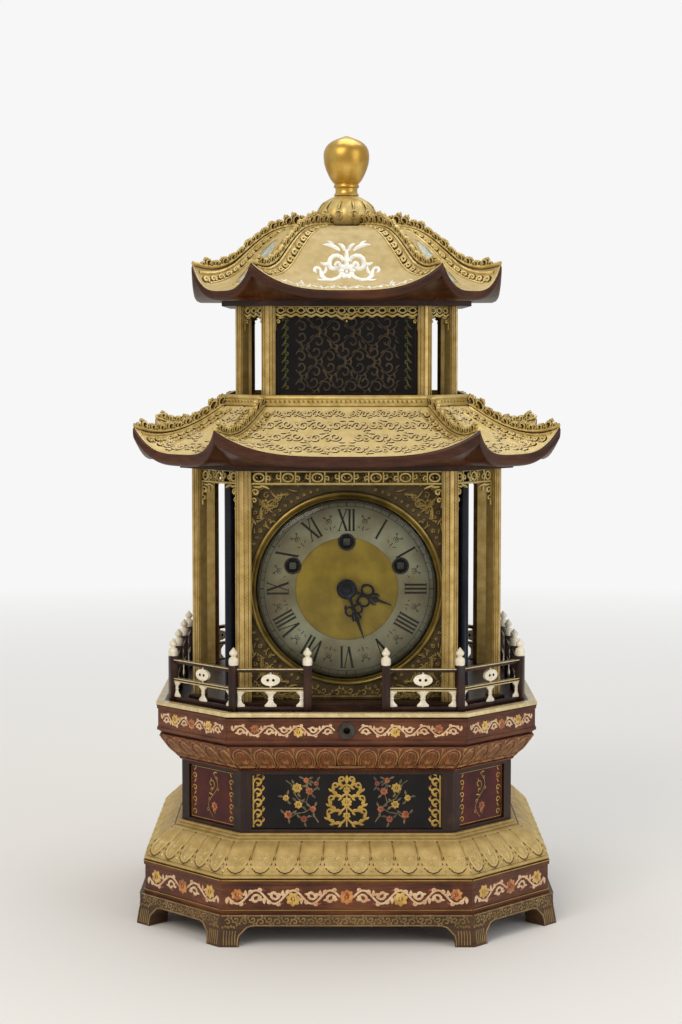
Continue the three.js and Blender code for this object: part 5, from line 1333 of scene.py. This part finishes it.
def lowerRoofScrolls(n):  # banks of round scrolls and leaves, mirrored about the middle of side n
    strokes = []
    for row, (y, inset, radius) in enumerate(lowerRoofValues["scrollRows"]):
        reach = lowerRoofValues["scrollHalf"][n % 2] - inset
        width = 0.24 * radius
        count = int((reach - radius) / (2.75 * radius))
        pitch = (reach - 0.6 * radius) / max(1, count)
        bank = []
        for i in range(count):
            x = pitch * (i + 0.62)
            up = 1 if (i + row) % 2 == 0 else -1
            bank += [curl(x - radius, y - up * 0.2 * radius, up * math.pi / 2, radius, 1.25, width,
                          -up, 13, 1.7),
                     leaf(x + 0.8 * radius, y - up * 0.7 * radius, -up * 0.2, 1.5 * radius, width,
                          up * 1.6, 6),
                     curl(x + 1.5 * radius, y + up * 0.5 * radius, up * 2.0, 0.42 * radius, 0.9, width * 0.9,
                          up, 8),
                     leaf(x - 0.6 * radius, y + up * 0.9 * radius, math.pi - up * 0.5, 1.1 * radius, width,
                          up * 0.9, 5),
                     dot(x + 1.25 * radius, y - up * 1.15 * radius, width * 1.3)]
        middle = blossom(0, y, 0.8 * radius, 5, math.pi / 2) if count and row % 2 == 0 else []
        strokes += stretchedUp(bothWays(bank) + middle, y, 1.5)
    if n % 2:
        for y in (57, 69, 80):
            strokes += bothWays([curl(0.8, y, 0.2, 4.2, 1.15, 1.0, 1, 11),
                                 leaf(4.4, y - 1, 0.1, 6.5, 1.0, 0.9), leaf(1, y + 8, 0.5, 5, 0.9, 0.8)])
    return strokes


def eaveLine(roof, n):  # the thin pale line where the roof meets its fascia
    half = sideOf(roof["eave"], n)[0]
    return [line([(half * (k / 24 - 1), 1.2) for k in range(49)], 0.8)]


def onHip(roof, n):  # x outward along hip n, y above the surface, h sideways; also gives the hip's length
    near, far = (roof[end][0] - roof[end][1] for end in ("top", "eave"))
    turn = turned(2 * (n // 2))
    side = 1 if n % 2 == 0 else -1
    top = turn @ Vector((side * near, -roof["top"][0], 0))
    run = turn @ Vector((side * far, -roof["eave"][0], 0)) - top
    length = run.length
    run.normalize()
    across = run.cross(Vector((0, 0, 1)))

    def place(x, y, h):
        spot = top + run * x + across * h
        height = slopeHeight(roof, min(1, max(0, x / length)))
        return Vector((spot.x, spot.y, height + y)) * mm
    return place, length


crestValues = {"pitch": 8.3, "width": 1.5, "thick": 1.6, "low": 10.4, "bump": 5.4, "tip": 7.0,
               "rope": 2.1, "besideFirst": 8.5, "besideRow": 7.4, "besidePitch": 7.6, "besideRadius": 3.2}


def crestHeight(share):
    return (crestValues["low"] + crestValues["bump"] * math.exp(-(((share - 0.12) / 0.16) ** 2))
            + crestValues["tip"] * max(0, share - 0.8))


def hipCrest(bm, roof, n):  # openwork bank along a hip: a rope, curls with eyes painted dark as shade in their openings, loose buds on top
    start = roof["crestStart"]
    place, length = onHip(roof, n)
    steps = 22
    rail = [(start + (length - start - 0.5) * i / steps, 1.6) for i in range(steps + 1)]
    addStrokes(bm, [line(rail, crestValues["rope"])], place, 1.2, 0, 2)
    pitch, width = crestValues["pitch"], crestValues["width"]
    count = int((length - start - 5) / pitch)
    strokes, eyes = [], []
    for i in range(count):
        x = start + pitch * (i + 0.5)
        tall = crestHeight(max(0, x / length)) * (0.88 + 0.12 * math.sin(i * 2.3))
        radius = tall * 0.34
        strokes += [curl(x - 0.4, 2.2, 0.1, radius, 1.05, width, 1, 10),
                    curl(x + 3.4, 3.0, 1.7, radius * 0.62, 0.9, width * 0.8, -1, 8),
                    curl(x + 0.5, tall * 0.68, 2.6, tall * 0.13, 0.8, width * 0.7, -1, 7),
                    leaf(x + 1.5, tall * 0.7, 0.5, tall * 0.34, width * 0.8, 1.2, 4),
                    dot(x + pitch * 0.46, tall * 0.72, 1.3)]
        eyes += [dot(x - 0.2, 2.2 + radius * 1.0, radius * 0.62), dot(x + pitch * 0.5, 3.4, 1.2)]
    addStrokes(bm, strokes, place, crestValues["thick"], 0, 1)
    # painted shade: dark dots in the eyes of the openwork
    addStrokes(bm, eyes, place, 0.7, 1, 1)


def besideHip(bm, roof, n):  # rows of flat curls on side n, along both of its hips
    rows = roof["besideRows"][n % 2]
    place = onRoof(roof, n)
    strokes, rails = [], []
    length = roof["length"]
    first, gap, radius = crestValues["besideFirst"], crestValues["besideRow"], crestValues["besideRadius"]
    topHalf, eaveHalf = sideOf(roof["top"], n)[0], sideOf(roof["eave"], n)[0]
    for hand in (-1, 1):
        def edge(y, inward):
            return hand * (mix(eaveHalf, topHalf, y / length) - inward)
        rails.append(line([(edge(y, 3.4), y) for y in [5 + (length - 7) * i / 16 for i in range(17)]], 1.3))
        for row in range(rows):
            inward = first + gap * row
            y = 11 + 3.5 * row
            while y < length - 5:
                x = edge(y, inward)
                if x * hand > 3:
                    strokes += [curl(x - hand * 2.8, y - 2, 1.2 if hand > 0 else math.pi - 1.2, radius,
                                     1.05, 1.35, -hand, 8),
                                leaf(x + hand * 2.6, y - 3.2, math.pi / 2 + hand * 0.3, 6.2, 1.2,
                                     hand * 0.8, 4)]
                y += crestValues["besidePitch"]
        inward = first + gap * rows - 2.6
        inner = [(edge(y, inward), y) for y in [9 + (length - 16) * i / 16 for i in range(17)]]
        rails.append(line([spot for spot in inner if spot[0] * hand > 1] or [(0, 9), (0, 10)], 0.8))
    addStrokes(bm, rails, place, 1.2, 0, 1)
    addStrokes(bm, strokes, place, 1.0, 0, 1)
    # painted shadow beside and under the curls
    addStrokes(bm, paintedShadowBeds(strokes, 0.2, -1.0, 1.25), place, 0.35, 1, 0)


ridgeValues = {  # the moulding under the upper storey; stations are (inset from its plan, height)
    "plan": shrink(plans["lowerRoofTop"], 0.5), "beadZ": 472.6, "beadPitch": 4.2,
    "stations": [(4, 468.6), (0, 468.6), (-1, 470.2), (-1, 471.4), (0.4, 472.2), (0.4, 475), (-0.5, 475.7),
                 (-0.6, 477.2), (0.6, 478.4), (1.4, 479), (4, 479)],
}


def lowerRoof():
    bm = bmesh.new()
    roofShell(bm, lowerRoofValues)
    # the lower roof ground takes the lighter painted-light copy of the gilding
    finishPiece("lowerRoofShell", bm, ["litLowerRoofGround", "eaveWood"], replaced=["lower_roof"],
                sharp=50)
    bm = bmesh.new()
    for n in allSides:
        scrolls = lowerRoofScrolls(n)
        addStrokes(bm, scrolls, onRoof(lowerRoofValues, n), 0.8, 0, 1)
        # painted shadow beside and under the scrolls
        addStrokes(bm, paintedShadowBeds(scrolls, 0.4, -1.3, 1.0), onRoof(lowerRoofValues, n), 0.3, 1, 0)
        addStrokes(bm, eaveLine(lowerRoofValues, n), onRoof(lowerRoofValues, n), 0.6, 2, 0)
    finishPiece("lowerRoofScrolls", bm, ["roofScroll", "hollow", "paleEdge"])
    bm = bmesh.new()
    for n in allSides:
        hipCrest(bm, lowerRoofValues, n)
        besideHip(bm, lowerRoofValues, n)
    plan = ridgeValues["plan"]
    addOctagon(bm, [(shrink(plan, inset), height) for inset, height in ridgeValues["stations"]], 0, loop=True)
    for n in allSides:
        half, distance = sideOf(plan, n)
        place = onSide(n, distance - 0.5)
        beads = []
        x = -half + 4
        while x < half - 3:
            beads.append(curl(x - 1.3, ridgeValues["beadZ"], 0.3, 1.15, 1.0, 0.5, 1, 7))
            x += ridgeValues["beadPitch"]
        addStrokes(bm, beads, place, 0.9, 0, 0)
        # painted shadow beside and under the beads
        addStrokes(bm, paintedShadowBeds(beads, 0.2, -0.4, 1.3), place, 0.35, 1, 0)
    finishPiece("lowerRidgeCresting", bm, ["openwork", "hollow"], replaced=["lower_ridge"],
                sharp=50)


def shellFlower():  # a medallion, two arms that hook outward and a palmette of curls above
    arm = [(4, 23), (8, 18.5), (13, 16), (18.5, 16.5), (22, 20.5), (23, 26)]
    half = [(arm, [1.6, 2.2, 2.5, 2.5, 2.2, 1.5]), curl(23, 26, math.pi / 2, 3.8, 0.75, 1.6, -1, 8, 1.3),
            leaf(17, 17, -0.7, 10, 1.7, 1.3), leaf(21, 23, 2.4, 8, 1.6, -1.0), leaf(9, 19, -1.0, 8, 1.5, 1.1),
            curl(2.2, 34, 1.25, 8.6, 0.85, 2.1, -1, 11, 1.4), leaf(6, 42, 0.75, 17, 2.0, -0.9),
            leaf(12, 45.5, 1.3, 8, 1.4, -1.2), leaf(2, 42, 1.5, 9, 1.7, -1.4),
            leaf(15, 33, -0.6, 9, 1.6, 1.2), curl(8.5, 27.5, 0.3, 3.6, 0.85, 1.4, 1, 8, 1.3)]
    stem = ([(0, 30), (0, 36), (0, 43)], [1.6, 2.6, 1.2])
    return bothWays(half) + [stem] + blossom(0, 25.5, 8, 9, math.pi / 2)


def eaveBorder(half):  # low vine along the eave of the upper roof
    strokes = vine(-half, half, 9, 5.4, 11, 0.75)
    for x in (-half * 0.66, half * 0.66):
        strokes += [leaf(x, 10, math.pi / 2, 12, 1.0, 0.4 if x < 0 else -0.4),
                    curl(x, 14, math.pi / 2, 2.4, 0.9, 0.6, 1 if x < 0 else -1)]
    return strokes


crownValues = {  # the lobed cap over the upper roof and the bud on it, as (radius, height)
    "cap": [(0, 633.4), (24, 633.4), (26.2, 635.6), (28.2, 640), (28.6, 643.5), (27.8, 648), (25.4, 652.6),
            (21, 656.8), (15.4, 660), (11.2, 662), (10.8, 662.4), (0, 662.4)],
    "flank": [(0, 26, 635.4), (5, 28.3, 640.2), (10, 28.2, 646), (15, 26, 651.8), (20, 21.8, 656.2),
              (26, 16, 659.8)],
    "lobes": 12, "lobeDepth": 0.075,
    "bud": [(0, 662.6), (11.6, 662.6), (11.7, 663.4), (10.4, 665.4), (10.2, 667.4), (10.4, 669.4),
            (11.8, 670.4), (12, 671.2), (11.8, 672), (11, 673.4), (12.4, 674.6), (14.4, 677.2), (16.5, 681),
            (18.9, 686.4), (20.6, 691.6), (21.3, 696.4), (21.4, 700.6), (20.8, 704.4), (19.2, 707.8),
            (16.8, 710.6), (13.6, 713), (9.8, 714.8), (6, 716.2), (3, 717.3), (1.2, 718), (0, 718.2)],
}


def lobed(co):  # lobes round the cap, fading towards its middle
    reach = math.hypot(co.x, co.y)
    hollow = 1 - abs(math.cos(crownValues["lobes"] / 2 * math.atan2(co.y, co.x)))
    depth = 1 - crownValues["lobeDepth"] * hollow ** 1.6 * min(1, max(0, (reach - 9) / 8))
    return Vector((co.x * depth, co.y * depth, co.z))


def capFlank(y):  # radius and height on the flank of the cap, y up along it
    rows = crownValues["flank"]
    for (a, r0, z0), (b, r1, z1) in zip(rows, rows[1:]):
        if y <= b:
            return mix(r0, r1, (y - a) / (b - a)), mix(z0, z1, (y - a) / (b - a))
    return rows[-1][1:]


def upperRoof():
    bm = bmesh.new()
    roofShell(bm, upperRoofValues)
    finishPiece("upperRoofShell", bm, ["roofGround", "eaveWood"], replaced=["upper_roof"],
                sharp=50)
    bm = bmesh.new()
    for n in allSides:
        place = onRoof(upperRoofValues, n)
        addStrokes(bm, eaveLine(upperRoofValues, n), place, 0.6, 3, 0)
        if n % 2 == 0:
            addStrokes(bm, stretchedUp(shifted(shellFlower(), 0, 9), 20, 1.22), place, 0.3, 0)
            addStrokes(bm, eaveBorder(58), place, 0.3, 0)
        else:
            panel = [([(0, 22), (0, 28), (0, 40), (0, 52), (0, 62), (0, 68)], [3.5, 6.2, 8.4, 7.4, 5, 1.5])]
            addStrokes(bm, panel, place, 0.12, 1, 3)
            veins = bothWays([leaf(0.5, y, 0.6, 6, 0.7, 0.5) for y in (28, 35, 42, 49, 56)])
            addStrokes(bm, veins + [line([(0, 24), (0, 66)], 0.5)], place, 0.9, 0)
            addStrokes(bm, [([(-4, 20), (-7.6, 28), (-10, 40), (-9, 52), (-6.4, 62), (0, 71), (6.4, 62),
                              (9, 52), (10, 40), (7.6, 28), (4, 20), (0, 17.5), (-4, 20)], [0.9] * 13)],
                       place, 1.0, 2)
    finishPiece("upperRoofInlay", bm, ["whiteShell", "greyShell", "openwork", "paleEdge"])
    bm = bmesh.new()
    for n in allSides:
        hipCrest(bm, upperRoofValues, n)
        besideHip(bm, upperRoofValues, n)
    addTurned(bm, crownValues["cap"], (0, 0, 0), steps=96, shape=lobed)
    for i in range(crownValues["lobes"]):
        turn = Matrix.Rotation(2 * math.pi / crownValues["lobes"] * (i + 0.5), 3, "Z")

        def onCap(x, y, h, turn=turn):
            reach, height = capFlank(y)
            return turn @ Vector((reach + h, x, height)) * mm
        addStrokes(bm, [arc(0, 8, 3.4, 20, 160, 0.5), arc(0, 8, 3.4, 200, 340, 0.5), dot(0, 8, 0.9),
                        leaf(0, 13, math.pi / 2, 9, 0.9)], onCap, 0.9)
    finishPiece("upperRoofCresting", bm, ["openwork", "hollow"], replaced=["upper_ridge"],
                sharp=45)
    bm = bmesh.new()
    addTurned(bm, crownValues["bud"], (0, 0, 0), steps=48)
    finishPiece("finialBud", bm, ["finialGilt"], replaced=["finial"], sharp=40)


lowerRoof()
upperRoof()
print("roofs built")


# Storeys: reeded gilt columns, openwork valances, dark inner columns, carved upper case
columnValues = {  # "valance" is the band's height and how far its corner brackets drop
    "lower": {"plan": plans["columns"], "face": 9.0, "depth": 10.0, "zLow": 207.3, "zHigh": 413.5,
              "valance": (13, 21)},
    "upper": {"plan": plans["upperColumns"], "face": 8.0, "depth": 9.0, "zLow": 474.5, "zHigh": 558.5,
              "valance": (10.5, 12)},
    "barley": 3.1, "ringPitch": 13.5,
}
# across one face of a column from its outer edge: share of the face, and how far it is sunk
reeds = [(1.0, 1.5), (0.88, 1.5), (0.88, 0.5), (0.82, 0.12), (0.76, 0.5), (0.74, 1.1), (0.7, 1.1),
         (0.68, 0.55), (0.36, 0.55), (0.34, 1.1), (0.3, 1.1), (0.27, 0.4), (0.18, 0.08), (0.09, 0.3)]


def cornerColumn(bm, values, n):  # corner n lies where side n ends and the next one starts
    face, depth = values["face"], values["depth"]
    outline = []
    for side, hand in ((n, 1), ((n + 1) % 8, -1)):
        half, distance = sideOf(values["plan"], side)
        turn = turned(side)
        points = [(face * share, sunk) for share, sunk in reeds]
        points = [(face, depth)] + points if hand > 0 else list(reversed(points)) + [(face, depth)]
        for along, sunk in points:
            outline.append(turn @ Vector((hand * (half - along), -(distance - sunk), values["zLow"])))
    half, distance = sideOf(shrink(values["plan"], depth), n)
    outline.append(turned(n) @ Vector((half, -distance, values["zLow"])))
    part = bmesh.new()
    base = part.faces.new([part.verts.new(point) for point in outline])
    made = bmesh.ops.extrude_face_region(part, geom=[base])["geom"]
    lifted = [item for item in made if isinstance(item, bmesh.types.BMVert)]
    bmesh.ops.translate(part, verts=lifted, vec=(0, 0, values["zHigh"] - values["zLow"]))
    bmesh.ops.recalc_face_normals(part, faces=part.faces)
    addTo(bm, part, 0, inMetres)
    for side, hand in ((n, 1), ((n + 1) % 8, -1)):
        half, distance = sideOf(values["plan"], side)
        low, high = values["zLow"] + 3, values["zHigh"] - 3
        middle = hand * (half - face * 0.52)
        pitch = columnValues["barley"]
        rows = int((high - low) / pitch)
        marks = [leaf(middle - 1.0, low + pitch * i, 0.9, 2.4, 0.34, 0.8, 3) for i in range(rows)]
        marks += [leaf(middle + 1.0, low + 1.5 + pitch * i, 2.2, 2.4, 0.34, -0.8, 3) for i in range(rows)]
        addStrokes(bm, marks, onSide(side, distance - 0.55), 0.7, 1, 0)


def valanceScrolls(openHalf, top, band, drop):  # rings and scrolls between two rails, brackets below
    pitch = columnValues["ringPitch"]
    mid = top - band / 2
    tall = band - 2.6
    strokes = [line([(-openHalf - 4, top - 0.9), (openHalf + 4, top - 0.9)], 1.1),
               line([(-openHalf - 4, top - band + 1), (openHalf + 4, top - band + 1)], 1.25)]
    count = 2 * round(openHalf / pitch) + 1
    step = 2 * openHalf / count
    for i in range(count):
        x = -openHalf + step * (i + 0.5)
        hand = 1 if x < 0 else -1
        if i % 2 == 0:
            strokes += [arc(x, mid, step * 0.36, 0, 360, 1.1, 16, tall * 0.36 / (step * 0.36)),
                        dot(x - step * 0.13, mid, 1.0), dot(x + step * 0.13, mid, 1.0)]
        else:
            strokes += [curl(x - hand * step * 0.3, mid - tall * 0.28, 0.5 if hand > 0 else math.pi - 0.5,
                             tall * 0.25, 1.1, 1.15, hand, 9),
                        curl(x + hand * step * 0.3, mid + tall * 0.28, math.pi + 0.5 if hand > 0 else -0.5,
                             tall * 0.25, 1.1, 1.15, hand, 9)]
        strokes.append(line([(x + step / 2, top - 1), (x + step / 2, top - band + 1)], 0.9))
    for hand in (-1, 1):
        side = hand * (openHalf + 0.4)
        low = top - band
        strokes += [line([(side, low), (side, low - drop + 0.6)], 1.1),
                    curl(side - hand * 0.6, low - drop * 0.32, math.pi / 2, 3.2, 1.15, 1.25, hand, 10),
                    curl(side - hand * 0.4, low - drop * 0.66, math.pi / 2, 2.4, 1.1, 1.05, hand, 9),
                    leaf(side - hand * 1.6, low - 1.2, math.pi / 2 + hand * 1.9, 10, 1.4, -hand * 0.7),
                    leaf(side - hand * 8, low - 0.5, math.pi / 2 + hand * 1.7, 9, 1.25, hand * 0.5),
                    leaf(side, low - drop * 0.9, -math.pi / 2 + 0.2 * hand, drop * 0.12, 0.7, 0)]
    return strokes


def upperValanceScrolls(openHalf, top, band, drop, front):  # a chain of rings over a waved rail
    strokes = [line([(-openHalf - 3, top - 0.8), (openHalf + 3, top - 0.8)], 0.8)]
    count = max(3, round(2 * openHalf / 9))
    step = 2 * openHalf / count
    wave = []
    for i in range(count * 8 + 1):
        x = -openHalf + step * i / 8
        fall = 2.6 * math.exp(-(x / 8) ** 2) if front else 0
        wave.append((x, top - band + 2.2 - fall + 0.9 * math.cos(2 * math.pi * i / 8)))
    strokes += [line(wave, 1.25), line([(x, y + 3.0) for x, y in wave], 0.7)]
    for i in range(count):
        x = -openHalf + step * (i + 0.5)
        strokes.append(arc(x, top - 4.1, step * 0.34, 0, 360, 0.85, 14, 0.8))
        strokes += [dot(x - step * 0.5, top - 2.6, 1.3), dot(x - step * 0.5, top - band + 3.6, 1.2)]
    if front:
        strokes += [curl(1.0, top - band - 1.2, 0.4, 2.6, 1.0, 0.9, 1, 9), dot(0, top - band - 3.0, 1.3)]
        strokes += flipped([curl(1.0, top - band - 1.2, 0.4, 2.6, 1.0, 0.9, 1, 9)])
    for hand in (-1, 1):
        side = hand * (openHalf + 0.2)
        low = top - band
        strokes += [curl(side - hand * 0.4, low - drop * 0.3, math.pi / 2, 2.0, 1.1, 0.75, hand, 9),
                    leaf(side - hand * 2, low, math.pi / 2 + hand * 1.8, 6, 0.8, -hand * 0.6),
                    line([(side, low), (side, low - drop + 0.6)], 0.6)]
    return strokes


def valancePlace(values, n):  # half the opening of side n, and a place midway in the columns' depth
    half, distance = sideOf(values["plan"], n)
    return half - values["face"] - 0.3, onSide(n, distance - values["depth"] / 2)


def storeyColumns():
    names = ["column_front_right", "column_right_front", "column_right_rear", "column_rear_right",
             "column_rear_left", "column_left_rear", "column_left_front", "column_front_left"]
    for n, name in zip(allSides, names):
        bm = bmesh.new()
        cornerColumn(bm, columnValues["lower"], n)
        finishPiece("gilt" + name.title().replace("_", ""), bm, ["column", "columnStipple"],
                    replaced=[name], sharp=30)
    bm = bmesh.new()
    for n in allSides:
        values = columnValues["lower"]
        openHalf, place = valancePlace(values, n)
        addStrokes(bm, valanceScrolls(openHalf, values["zHigh"], *values["valance"]), place, 1.15)
    finishPiece("lowerValanceScrolls", bm, ["openwork"], replaced=["lower_valance"], sharp=50)
    bm = bmesh.new()
    for n in allSides:
        values = columnValues["upper"]
        cornerColumn(bm, values, n)
        openHalf, place = valancePlace(values, n)
        scrolls = upperValanceScrolls(openHalf, values["zHigh"], *values["valance"], n % 2 == 0)
        addStrokes(bm, scrolls, place, 1.15, 2)
    finishPiece("upperColonnadeGilt", bm, ["column", "columnStipple", "openwork"],
                replaced=["upper_colonnade"], sharp=30)


innerValues = {
    "x": 104.6, "y": 112,
    "profile": [(0, 207.35), (5.4, 207.35), (5.4, 209.4), (4.9, 210.2), (5.3, 211.2), (4.75, 212.4),
                (4.7, 310), (4.7, 408.4), (5.2, 409.4), (4.9, 410.4), (5.4, 411.4), (5.4, 413.4), (0, 413.4)],
}


def innerColumns():
    bm = bmesh.new()
    for x in (-innerValues["x"], innerValues["x"]):
        for y in (-innerValues["y"], innerValues["y"]):
            addTurned(bm, innerValues["profile"], (x, y, 0), steps=28)
    finishPiece("innerColumnLacquer", bm, ["nightLacquer"], sharp=35)


caseValues = {"fields": ((0, 85), (2, 73), (4, 85), (6, 73)), "recess": 3, "vineHalf": 46, "vineRows": 5,
              "vineLow": 488, "vineGap": 13.6}


def carvedCase():
    # foliage carved in low relief in the sunk panels of the upper case, gilt left along the sides
    bm = bmesh.new()
    reach = caseValues["vineHalf"]
    for n, front in caseValues["fields"]:
        place = onSide(n, front)
        field = []
        for row in range(caseValues["vineRows"]):
            field += shifted(vine(-reach, reach, 0, 13, 12 + row, 0.9, row % 2), 0,
                             caseValues["vineLow"] + caseValues["vineGap"] * row)
        addStrokes(bm, field, place, 1.1, 0)
        for hand in (-1, 1):
            edge = []
            for row in range(9):
                y = 484.5 + 7.6 * row
                edge += [leaf(hand * 59, y, math.pi / 2 + hand * 1.0, 9, 1.1, -hand * 0.9),
                         curl(hand * 56, y + 2, math.pi / 2 + hand * 0.7, 2.2, 1.0, 0.7, hand, 7)]
            addStrokes(bm, edge, place, 0.9, 1)
    finishPiece("upperCaseCarving", bm, ["darkCarving", "greenGilt"], sharp=50)
    bm = bmesh.new()
    for n, front in caseValues["fields"]:
        fillet = line(cornersOf(61.8, 480.2, 550.8), 0.55)
        addStrokes(bm, [fillet], onSide(n, front + caseValues["recess"]), 0.8)
    finishPiece("upperCaseFillet", bm, ["caseWood"])


storeyColumns()
innerColumns()
carvedCase()
print("storeys built")


# Floor, light and camera

stageValues = {"floorColor": "EDEBE6", "floorSize": 30.0, "worldColor": "FFFFFF", "worldStrength": 0.55,
               "keyPower": 26.0, "fillPower": 12.0, "topPower": 16.0, "backShade": 0.93,
               "lens": 74.31, "cameraPlace": (-0.00507, -1.99745, 0.52609), "cameraTilt": 85.406}


def makeFloor():
    bm = bmesh.new()
    bmesh.ops.create_grid(bm, x_segments=1, y_segments=1, size=stageValues["floorSize"] / 2)
    mesh = bpy.data.meshes.new("floor")
    bm.to_mesh(mesh)
    bm.free()
    material, tree = startMaterial("plainFloor")
    paint = addNode(tree, "BsdfPrincipled", {"Base Color": fromHex(stageValues["floorColor"]),
                                             "Roughness": 0.8})
    shade = stageValues["backShade"]
    paper = addNode(tree, "Emission", {"Color": [shade, shade, shade, 1], "Strength": 1.0})
    rays = addNode(tree, "LightPath")
    far = addNode(tree, "TexCoord")
    out = addNode(tree, "VectorMath", {0: far.outputs["Object"]}, operation="LENGTH")
    fade = addNode(tree, "MapRange", {"Value": out.outputs["Value"], "From Min": 0.6, "From Max": 2.6})
    seen = addNode(tree, "Math", {0: fade, 1: rays.outputs["Is Camera Ray"]}, operation="MULTIPLY")
    both = addNode(tree, "MixShader", {0: seen, 1: paint, 2: paper})
    mesh.materials.append(endMaterial(material, tree, both))
    floor = bpy.data.objects.new("floor", mesh)
    bpy.context.scene.collection.objects.link(floor)


def makeLight(name, place, target, size, power, color="FFFFFF"):
    lamp = bpy.data.lights.new(name, "AREA")
    lamp.shape = "RECTANGLE"
    lamp.size, lamp.size_y = size
    lamp.energy = power
    lamp.color = fromHex(color)[:3]
    light = bpy.data.objects.new(name, lamp)
    light.location = place
    light.rotation_euler = (Vector(target) - Vector(place)).to_track_quat("-Z", "Y").to_euler()
    bpy.context.scene.collection.objects.link(light)


def makeWorld():
    world = bpy.data.worlds.new("studio")
    world.use_nodes = True
    tree = world.node_tree
    tree.nodes.clear()
    rays = addNode(tree, "LightPath")
    room = addNode(tree, "Background", {"Color": fromHex(stageValues["worldColor"]),
                                        "Strength": stageValues["worldStrength"]})
    shade = stageValues["backShade"]
    wall = addNode(tree, "Background", {"Color": [shade, shade, shade, 1], "Strength": 1.0})
    both = addNode(tree, "MixShader", {0: rays.outputs["Is Camera Ray"], 1: room, 2: wall})
    addNode(tree, "OutputWorld", {"Surface": both})
    bpy.context.scene.world = world


makeFloor()
makeWorld()
makeLight("keyLight", (-1.1, -1.9, 1.9), (0, 0, 0.36), (1.4, 1.4), stageValues["keyPower"], "FFF4E6")
makeLight("fillLight", (1.7, -1.5, 1.0), (0, 0, 0.34), (1.3, 1.6), stageValues["fillPower"], "F4F7FF")
makeLight("topLight", (0.2, 0.5, 2.3), (0, 0, 0.5), (1.6, 1.6), stageValues["topPower"])

camera = bpy.data.cameras.new("camera")
camera.lens = stageValues["lens"]
camera.sensor_width = 36.0
camera.sensor_fit = "AUTO"
cameraObject = bpy.data.objects.new("camera", camera)
cameraObject.location = stageValues["cameraPlace"]
cameraObject.rotation_euler = (math.radians(stageValues["cameraTilt"]), 0, 0)
bpy.context.scene.collection.objects.link(cameraObject)
bpy.context.scene.camera = cameraObject
bpy.context.scene.view_settings.view_transform = "Standard"
